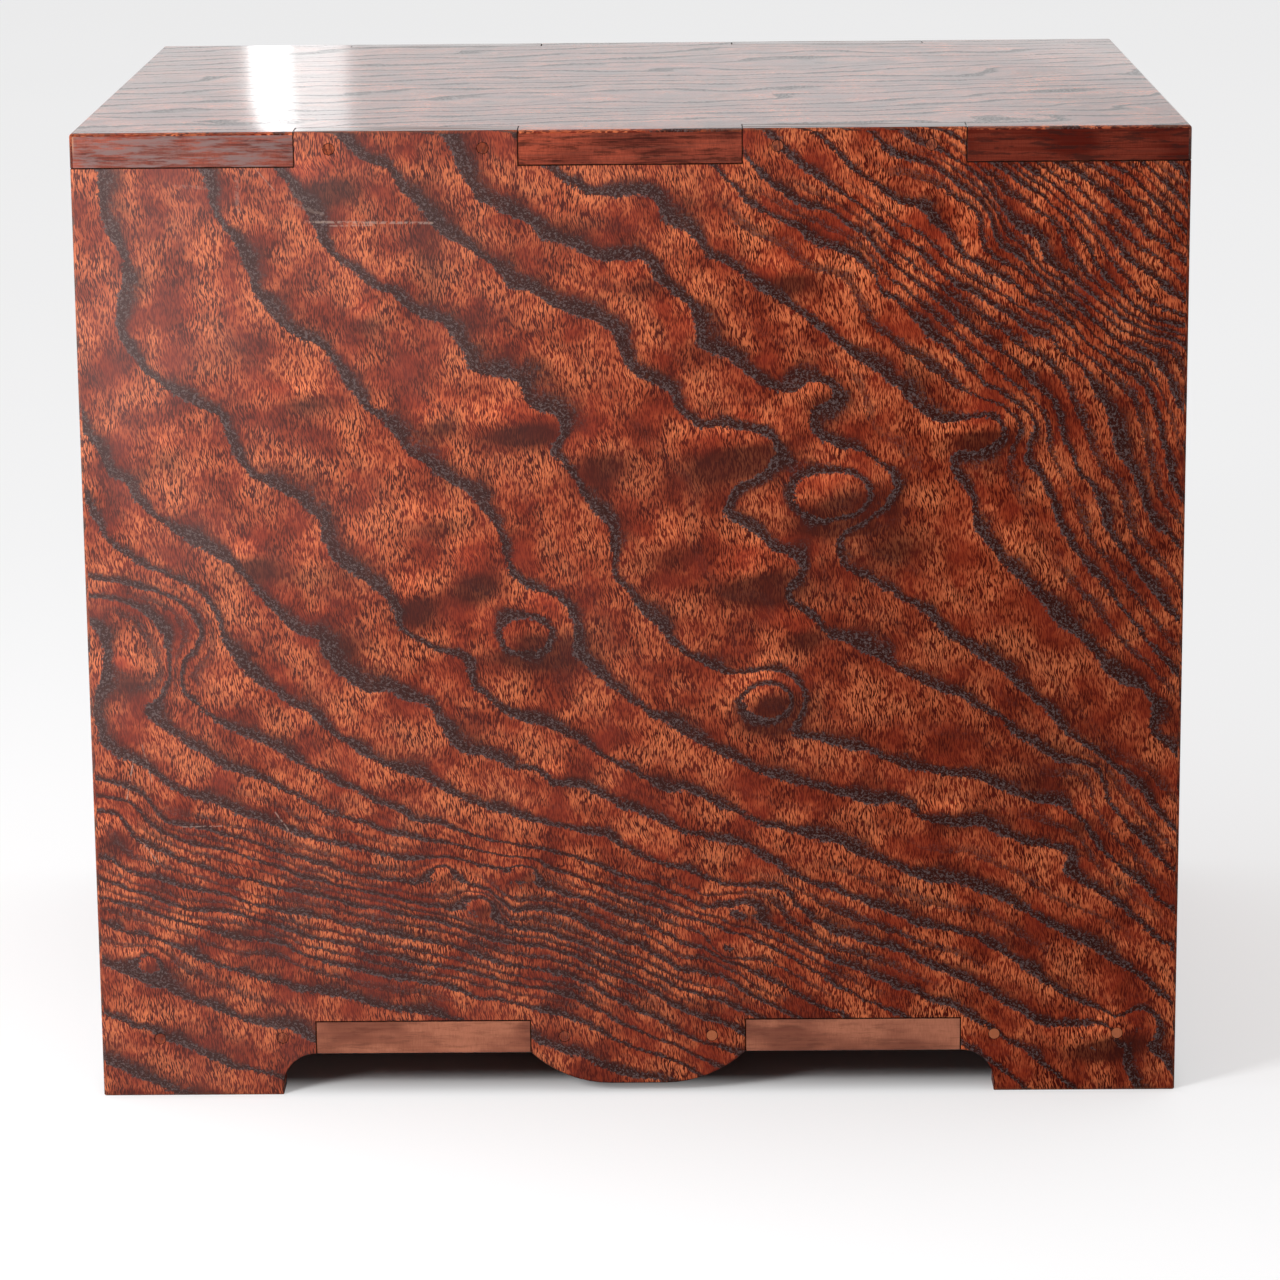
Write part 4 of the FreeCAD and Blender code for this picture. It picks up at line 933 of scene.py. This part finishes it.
panel_end = end_grain(
    "panel end grain", dark=(0.05, 0.014, 0.01, 1), light=(0.20, 0.045, 0.02, 1), greyness=0.3, plank=8.0, lacquer=1.0)
for hand, side, step, scratches in (("right", 1, 0.002, SCRATCHES), ("left", -1, 0.003, ())):
    node = f"{hand}_side_panel"
    board = squared_paper(eased_board(node), side, step)
    finishes = (panel_finish(f"{hand} panel zelkova", scratches), panel_end)
    draw_veins(finished(f"{node}_wood", board, "case", node, finishes, is_upper_end), side < 0)


# Rails and shelf boards
# Three zelkova rails cross the front between the drawers and are housed in the side panels. Behind each
# lies a thin board of bare paulownia, pale and straight-grained, that the drawer above runs on.

PAULOWNIA = {"early": (0.58, 0.43, 0.28, 1), "late": (0.40, 0.27, 0.155, 1)}
SOIL_BROWN = (0.22, 0.14, 0.08, 1)
BARE_JOINT_DARK = (0.03, 0.018, 0.010, 1)

grain, given, made = effect_group(
    "straight grain",
    {
        **BOARD_RUN, "Ring Width": ("Float", 4.0),
        "Early": ("Color", (0.6, 0.45, 0.3, 1)), "Late": ("Color", (0.4, 0.27, 0.16, 1)), "Plank": ("Float", 0.0),
    },
    {"Color": "Color", "Roughness": "Float", "Height": "Float"},
)
across, along, deep, plank = (given[label] for label in ("Across", "Along", "Deep", "Plank"))
drift = mottle(grain, vector(grain, across * 0.02, along * 0.005, deep * 0.02 + plank), 1.0, 2)
wide = mottle(grain, vector(grain, across * 0.15, along * 0.004, deep * 0.15 + plank), 1.0, 2)
fibres = mottle(grain, vector(grain, across * 2.6, along * 0.035, deep * 2.6 + plank), 1.0, 4, 0.7)
part_of_year = ((across + deep * 0.5) / given["Ring Width"] + drift * 5.0 + wide * 2.0).past_whole()
late = part_of_year.rising(0.35, 0.97) * (1.0 - part_of_year.rising(0.97, 1.0))
tone = late * 0.5 + (fibres - 0.35) * 1.1 + (wide - 0.5) * 0.5
join(grain, blend(grain, tone.most(0.0).least(1.0), given["Early"], given["Late"]), made["Color"])
join(grain, fibres * 0.2 + 0.55, made["Roughness"])
join(grain, fibres * 0.7 + late * 0.3, made["Height"])


def straight_grained(name, run, ring_width, plank, early, late, lacquer=0.0):
    """A plain straight-grained board, bare or thinly lacquered."""
    finish, tree, shader, place, axes = new_finish(name)
    where = {label: axes[axis] for label, axis in zip(BOARD_RUN, run)}
    look = apply_effect(tree, grain, **where, Ring_Width=ring_width, Early=early, Late=late, Plank=plank)
    soil = mottle(tree, place, 0.03, 3, 0.6).rising(0.45, 0.75)
    dulled = blend(tree, soil * 0.3, look["Color"], SOIL_BROWN)
    join(tree, blend(tree, attribute(tree, "joint") * 0.7, dulled, BARE_JOINT_DARK), shader.inputs["Base Color"])
    join(tree, look["Roughness"] - lacquer * 0.15, shader.inputs["Roughness"])
    settle(shader, Coat_Weight=lacquer, Coat_Roughness=0.25, Coat_IOR=1.3, Specular_IOR_Level=0.15)
    emboss(tree, shader, look["Height"], 0.3)
    return finish


rail_finish = zelkova_board("rail zelkova", (Z, X, Y), ring_width=5.0, lean=0.04, wander=0.5, plank=7.7)
shelf_finish = straight_grained("shelf paulownia", (Y, X, Z), ring_width=5.0, plank=1.3, **PAULOWNIA)
for level in ("lower", "middle", "upper"):
    rail, shelf = f"{level}_rail", f"{level}_shelf"
    finished(f"{rail}_wood", eased_board(rail), "case", rail, (rail_finish,))
    finished(f"{shelf}_wood", eased_board(shelf), "case", shelf, (shelf_finish,))


# Divider
# An upright zelkova board between the two small drawers, tongued into the top board and the upper rail.

divider_finish = zelkova_board("divider zelkova", (Y, Z, X), ring_width=6.0, lean=0.3, wander=1.0, plank=9.2)
finished("divider_wood", eased_board("divider"), "case", "divider", (divider_finish,))


# Top board
# One zelkova board with three fingers in each long edge. Its veins run slantwise over the top, and the
# fingers show end grain in the side panels, each a little different where the lacquer has worn.

top_finish = zelkova_board("top zelkova", (X, Y, Z), ring_width=15.0, lean=0.16, wander=1.5, plank=1.7)
settle(top_finish.node_tree.nodes["Principled BSDF"], Coat_IOR=1.4)
top_end = end_grain(
    "top end grain", dark=(0.06, 0.011, 0.008, 1), light=(0.42, 0.080, 0.040, 1), greyness=0.5, plank=0.0, film=0.8)
top_finishes = (top_finish, top_end, board_edge)
finished("top_board_wood", eased_board("top_board"), "case", "top_board", top_finishes, sawn_edge)


# Pegs of the case
# Round hardwood pegs, cut off flush: two through each finger of the side panels into the top board, and
# two through each foot and each lobe into the base board.

PEG_SIDES = 20
CASE_PEG = {"diameter": 0.003, "length": 0.024}
ALONG_WIDTH, ALONG_DEPTH = (1.0, 0.0, 0.0), (0.0, 1.0, 0.0)
# The pegs that show pale against the panel, in the photograph, and how near to it a peg counts as one, in mm
PALE_PEGS = ((717, 1035), (990, 1035), (1113, 1033))
PALE_WITHIN = 8

peg_finish, tree, shader, place, (x, y, z) = new_finish("peg wood")
rounds = mottle(tree, vector(tree, x * 0.2, y * 1.6, z * 1.6), 1.0, 3, 0.6)
worn_ends = mottle(tree, place, 0.5, 2)
blended_in = apply_effect(tree, figure, Across=y, Along=z, Deep=x, Ring=0.55, Rings_per_mm=0.08)["Color"]
standing_out = blend(tree, rounds * 0.7 + worn_ends * 0.3, (0.34, 0.09, 0.035, 1), (0.56, 0.17, 0.065, 1))
join(tree, blend(tree, attribute(tree, "paleness"), blended_in, standing_out), shader.inputs["Base Color"])
join(tree, rounds * 0.2 + 0.3, shader.inputs["Roughness"])
settle(shader, Coat_Weight=0.8, Coat_Roughness=0.15, Coat_IOR=1.28, Specular_IOR_Level=0.05)
emboss(tree, shader, rounds, 0.2)


def growth(name, inputs):
    """A new geometry tree, with its input sockets by name and the same as they come into it."""
    tree = bpy.data.node_groups.new(name, "GeometryNodeTree")
    sockets = {
        label: tree.interface.new_socket(label, in_out="INPUT", socket_type=f"NodeSocket{kind}")
        for label, kind in inputs.items()
    }
    return tree, sockets, tree.nodes.new("NodeGroupInput").outputs


def grown_as(tree, links, shape, material, label):
    """Links a geometry tree's nodes, makes the shape's instances real and gives it its material."""
    tree.interface.new_socket(label, in_out="OUTPUT", socket_type="NodeSocketGeometry")
    made_real = tree.nodes.new("GeometryNodeRealizeInstances")
    coloured = tree.nodes.new("GeometryNodeSetMaterial")
    coloured.inputs["Material"].default_value = material
    last = tree.nodes.new("NodeGroupOutput").inputs[label]
    links = (
        *links, (shape, made_real.inputs["Geometry"]),
        (made_real.outputs["Geometry"], coloured.inputs["Geometry"]), (coloured.outputs["Geometry"], last),
    )
    for source, target in links:
        tree.links.new(source, target)


peg_row, peg_inputs, given = growth(
    "row of pegs", {"Middles": "Geometry", "Direction": "Vector", "Radius": "Float", "Length": "Float"})
cylinder = peg_row.nodes.new("GeometryNodeMeshCylinder")
cylinder.inputs["Vertices"].default_value = PEG_SIDES
turn = peg_row.nodes.new("FunctionNodeAlignRotationToVector")
turn.axis = "Z"
stand = peg_row.nodes.new("GeometryNodeInstanceOnPoints")
peg_links = (
    (given["Radius"], cylinder.inputs["Radius"]),
    (given["Length"], cylinder.inputs["Depth"]),
    (given["Direction"], turn.inputs["Vector"]),
    (given["Middles"], stand.inputs["Points"]),
    (cylinder.outputs["Mesh"], stand.inputs["Instance"]),
    (turn.outputs["Rotation"], stand.inputs["Rotation"]),
)
grown_as(peg_row, peg_links, stand.outputs["Instances"], peg_finish, "Pegs")


def grown_mesh(tree, settings, name, start_mesh):
    """A plain mesh of what a geometry tree makes from a start mesh, as a new piece."""
    piece = bpy.data.objects.new(name, start_mesh)
    bpy.context.scene.collection.objects.link(piece)
    modifier = piece.modifiers.new("growth", "NODES")
    modifier.node_group = tree
    for socket, setting in settings:
        modifier[socket.identifier] = setting
    ready = piece.evaluated_get(bpy.context.evaluated_depsgraph_get())
    mesh = bpy.data.meshes.new_from_object(ready)
    piece.modifiers.clear()
    piece.data = mesh
    for part in mesh.polygons:
        part.use_smooth = True
    mesh.set_sharp_from_angle(angle=SHARP_CORNER)
    return piece


def peg_middles(node):
    """The middle of each separate peg of a node."""
    shape = joined_up(node)
    waiting, middles = dict.fromkeys(shape.verts), []
    while waiting:
        peg = [waiting.popitem()[0]]
        for corner in peg:
            for other in (edge.other_vert(corner) for edge in corner.link_edges):
                if other in waiting:
                    del waiting[other]
                    peg.append(other)
        middles.append(sum((corner.co for corner in peg), Vector()) / len(peg))
    shape.free()
    return middles


pale_places = [on_side_panel(*place) for place in PALE_PEGS]


def set_pegs(node, body, direction, diameter, length):
    """Sets a round peg in the place of each peg of a node."""
    middles = peg_middles(node)
    start = bpy.data.meshes.new(f"{node}_middles")
    start.from_pydata([tuple(middle) for middle in middles], [], [])
    paleness = start.attributes.new("paleness", "FLOAT", "POINT")
    for number, middle in enumerate(middles):
        apart = min(math.dist((middle.y * 1000, middle.z * 1000), place) for place in pale_places)
        paleness.data[number].value = 0.85 if apart < PALE_WITHIN and middle.x > 0 else 0.1
    settings = (
        (peg_inputs["Direction"], direction), (peg_inputs["Radius"], diameter / 2), (peg_inputs["Length"], length))
    piece = grown_mesh(peg_row, settings, f"{node}_round", start)
    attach(piece, body)
    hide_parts(node)


set_pegs("top_pegs", "case", ALONG_WIDTH, **CASE_PEG)
set_pegs("base_pegs", "case", ALONG_WIDTH, **CASE_PEG)


# Back panel
# A plain upright board, thinly lacquered, set in a rabbet round the rear and pegged along its edges.

back_finish = straight_grained(
    "back board", (X, Z, Y), ring_width=7.0, plank=5.5,
    early=(0.40, 0.115, 0.044, 1), late=(0.17, 0.034, 0.013, 1), lacquer=0.45)
finished("back_panel_wood", eased_board("back_panel"), "case", "back_panel", (back_finish,))
set_pegs("back_pegs", "case", ALONG_DEPTH, diameter=0.002, length=0.016)


# Drawers
# Each has a solid zelkova front, rounded at its edges, and a box of bare paulownia: sides lapped into
# the front and pegged, a back finger-jointed to them, and a bottom board below.

DRAWERS = ("upper_left", "upper_right", "second", "third", "bottom")
side_finish = straight_grained("drawer side paulownia", (Z, Y, X), ring_width=6.0, plank=2.2, **PAULOWNIA)
rear_finish = straight_grained("drawer back paulownia", (Z, X, Y), ring_width=6.0, plank=3.4, **PAULOWNIA)
floor_board_finish = straight_grained("drawer bottom paulownia", (X, Y, Z), ring_width=6.5, plank=4.6, **PAULOWNIA)
box_finishes = {"left_side": side_finish, "right_side": side_finish, "back": rear_finish, "bottom": floor_board_finish}

for number, drawer in enumerate(DRAWERS):
    body = f"{drawer}_drawer"
    front = f"{drawer}_drawer_front"
    low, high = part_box(front)
    front_finish = zelkova_board(
        f"{drawer} front zelkova", (Z, X, Y), ring_width=12.0, lean=0.26, wander=1.5, plank=11.0 + number * 1.37,
        middle=tuple((low + high) * 500), half_size=tuple((high - low) * 500))
    finished(f"{front}_wood", eased_board(front), body, front, (front_finish,))
    for part, finish in box_finishes.items():
        node = f"{drawer}_drawer_{part}"
        finished(f"{node}_wood", eased_board(node), body, node, (finish,))
    set_pegs(f"{drawer}_drawer_pegs", body, ALONG_WIDTH, diameter=0.0022, length=0.016)


# Ring pulls
# Blackened forged iron: a bevelled seat plate on the drawer front, a split pin whose eye stands off it
# and whose legs are clinched behind, and a round ring that hangs in the eye.

SEAT_SIDES = 40
EYE_SIDES = 32
RING_STEPS, WIRE_SIDES = 72, 16
EYE_RADIUS, EYE_HOLE_RADIUS = 0.0027, 0.0015
SHANK_START, HALF_SHANK = 0.0019, 0.0011
LEG_THICKNESS, HALF_LEG_GAP = 0.00095, 0.0004
HAMMER_MARKS, BLOWS_PER_METRE = 0.00035, 260
IRON_BLACK, IRON_WORN = (0.030, 0.027, 0.025, 1), (0.14, 0.112, 0.090, 1)

iron, tree, shader, place, (x, y, z) = new_finish("blackened iron")
hammered = mottle(tree, place, 0.55, 3, 0.6)
scale_marks = mottle(tree, place, 1.9, 4, 0.7)
join(tree, blend(tree, scale_marks.rising(0.45, 0.7), IRON_BLACK, IRON_WORN), shader.inputs["Base Color"])
join(tree, scale_marks.rising(0.3, 0.8) * 0.4 + 0.3, shader.inputs["Roughness"])
join(tree, 0.95 - scale_marks.rising(0.5, 0.75) * 0.4, shader.inputs["Metallic"])
emboss(tree, shader, hammered * 0.8 + scale_marks * 0.2, 0.5, 0.00025)

forged_ring, ring_inputs, given = growth("forged ring", {
    "Start": "Geometry", "Middle": "Vector", "Ring Radius": "Float", "Wire Radius": "Float", "Unevenness": "Float"})
round_line, wire_line = (forged_ring.nodes.new("GeometryNodeCurvePrimitiveCircle") for line in range(2))
round_line.inputs["Resolution"].default_value = RING_STEPS
wire_line.inputs["Resolution"].default_value = WIRE_SIDES
swept = forged_ring.nodes.new("GeometryNodeCurveToMesh")
upright = forged_ring.nodes.new("GeometryNodeTransform")
upright.inputs["Rotation"].default_value = (math.pi / 2, 0, 0)
blows = forged_ring.nodes.new("ShaderNodeTexNoise")
blows.inputs["Scale"].default_value = BLOWS_PER_METRE
centred = of_vectors(forged_ring, "SUBTRACT", blows.outputs["Color"], (0.5, 0.5, 0.5))
struck = of_vectors(forged_ring, "SCALE", centred, given["Unevenness"])
moved = forged_ring.nodes.new("GeometryNodeSetPosition")
placed = forged_ring.nodes.new("GeometryNodeTransform")
ring_links = (
    (given["Ring Radius"], round_line.inputs["Radius"]),
    (given["Wire Radius"], wire_line.inputs["Radius"]),
    (round_line.outputs["Curve"], swept.inputs["Curve"]),
    (wire_line.outputs["Curve"], swept.inputs["Profile Curve"]),
    (swept.outputs["Mesh"], upright.inputs["Geometry"]),
    (upright.outputs["Geometry"], moved.inputs["Geometry"]),
    (struck, moved.inputs["Offset"]),
    (moved.outputs["Geometry"], placed.inputs["Geometry"]),
    (given["Middle"], placed.inputs["Translation"]),
)
grown_as(forged_ring, ring_links, placed.outputs["Geometry"], iron, "Ring")


def turned_plate(shape, profile, middle):
    """Turns a profile of radius and distance about a line along the depth, closed at both ends."""
    loops = [
        [
            shape.verts.new(middle + Vector((radius * math.cos(angle), along, radius * math.sin(angle))))
            for angle in (2 * math.pi * step / SEAT_SIDES for step in range(SEAT_SIDES))
        ]
        for radius, along in profile
    ]
    for near, far in zip(loops, loops[1:]):
        for step in range(SEAT_SIDES):
            shape.faces.new((near[step], near[step - 1], far[step - 1], far[step]))
    shape.faces.new(loops[0])
    shape.faces.new(list(reversed(loops[-1])))


def eye_of_pin(shape, middle, width, outer, inner):
    """The rounded eye of a split pin: a short tube along X with eased rims."""
    easing = (outer - inner) * 0.22
    half = width / 2
    section = (
        (outer - easing, -half), (outer, -half + easing), (outer, half - easing), (outer - easing, half),
        (inner + easing, half), (inner, half - easing), (inner, -half + easing), (inner + easing, -half),
    )
    loops = [
        [
            shape.verts.new(middle + Vector((across, radius * math.cos(angle), radius * math.sin(angle))))
            for radius, across in section
        ]
        for angle in (2 * math.pi * step / EYE_SIDES for step in range(EYE_SIDES))
    ]
    for before, after in zip([loops[-1], *loops], loops):
        for corner in range(len(section)):
            shape.faces.new((before[corner - 1], after[corner - 1], after[corner], before[corner]))


def forged_bar(shape, low, high, easing):
    """A square bar between two corners, with eased edges."""
    corners = bmesh.ops.create_cube(shape, size=1.0)["verts"]
    low, high = Vector(low), Vector(high)
    for corner in corners:
        corner.co = (low + high) / 2 + corner.co * (high - low)
    edges = list(dict.fromkeys(edge for corner in corners for edge in corner.link_edges))
    bmesh.ops.bevel(shape, geom=edges, offset=easing, segments=2, profile=0.6, affect="EDGES")


for drawer in DRAWERS:
    body = f"{drawer}_drawer"
    node = f"{drawer}_pull_seat"
    low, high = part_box(node)
    middle = (low + high) / 2
    # A little smaller than the eight-sided plate's box, so that the round one keeps inside it
    radius, thickness = (high.x - low.x) / 2 * 0.985, high.y - low.y
    bevelled = (
        (radius, thickness * 0.5), (radius, thickness * -0.05), (radius * 0.94, thickness * -0.3),
        (radius * 0.88, thickness * -0.5), (radius * 0.3, thickness * -0.5),
    )
    seat = bmesh.new()
    turned_plate(seat, bevelled, middle)
    bmesh.ops.recalc_face_normals(seat, faces=seat.faces)
    finished(f"{node}_iron", seat, body, node, (iron,))

    node = f"{drawer}_pull_pin"
    low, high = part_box(node)
    eye = Vector(((low.x + high.x) / 2, low.y + EYE_RADIUS, (low.z + high.z) / 2))
    pin = bmesh.new()
    eye_of_pin(pin, eye, high.x - low.x, EYE_RADIUS, EYE_HOLE_RADIUS)
    shank = ((low.x, eye.y + SHANK_START, eye.z - HALF_SHANK), (high.x, high.y - 0.0002, eye.z + HALF_SHANK))
    forged_bar(pin, *shank, easing=0.0002)
    for lowest, highest in ((low.z, eye.z - HALF_LEG_GAP), (eye.z + HALF_LEG_GAP, high.z)):
        forged_bar(pin, (low.x, high.y - LEG_THICKNESS, lowest), (high.x, high.y, highest), easing=0.0003)
    bmesh.ops.recalc_face_normals(pin, faces=pin.faces)
    finished(f"{node}_iron", pin, body, node, (iron,))

    node = f"{drawer}_pull_ring"
    low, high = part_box(node)
    wire = (high.y - low.y) / 2
    settings = (
        (ring_inputs["Middle"], tuple((low + high) / 2)),
        (ring_inputs["Ring Radius"], (high.x - low.x) / 2 - wire * 1.06),
        (ring_inputs["Wire Radius"], wire * 0.98),
        (ring_inputs["Unevenness"], HAMMER_MARKS),
    )
    ring = grown_mesh(forged_ring, settings, f"{node}_iron", bpy.data.meshes.new(f"{drawer}_ring_start"))
    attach(ring, f"{drawer}_ring")
    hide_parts(node)
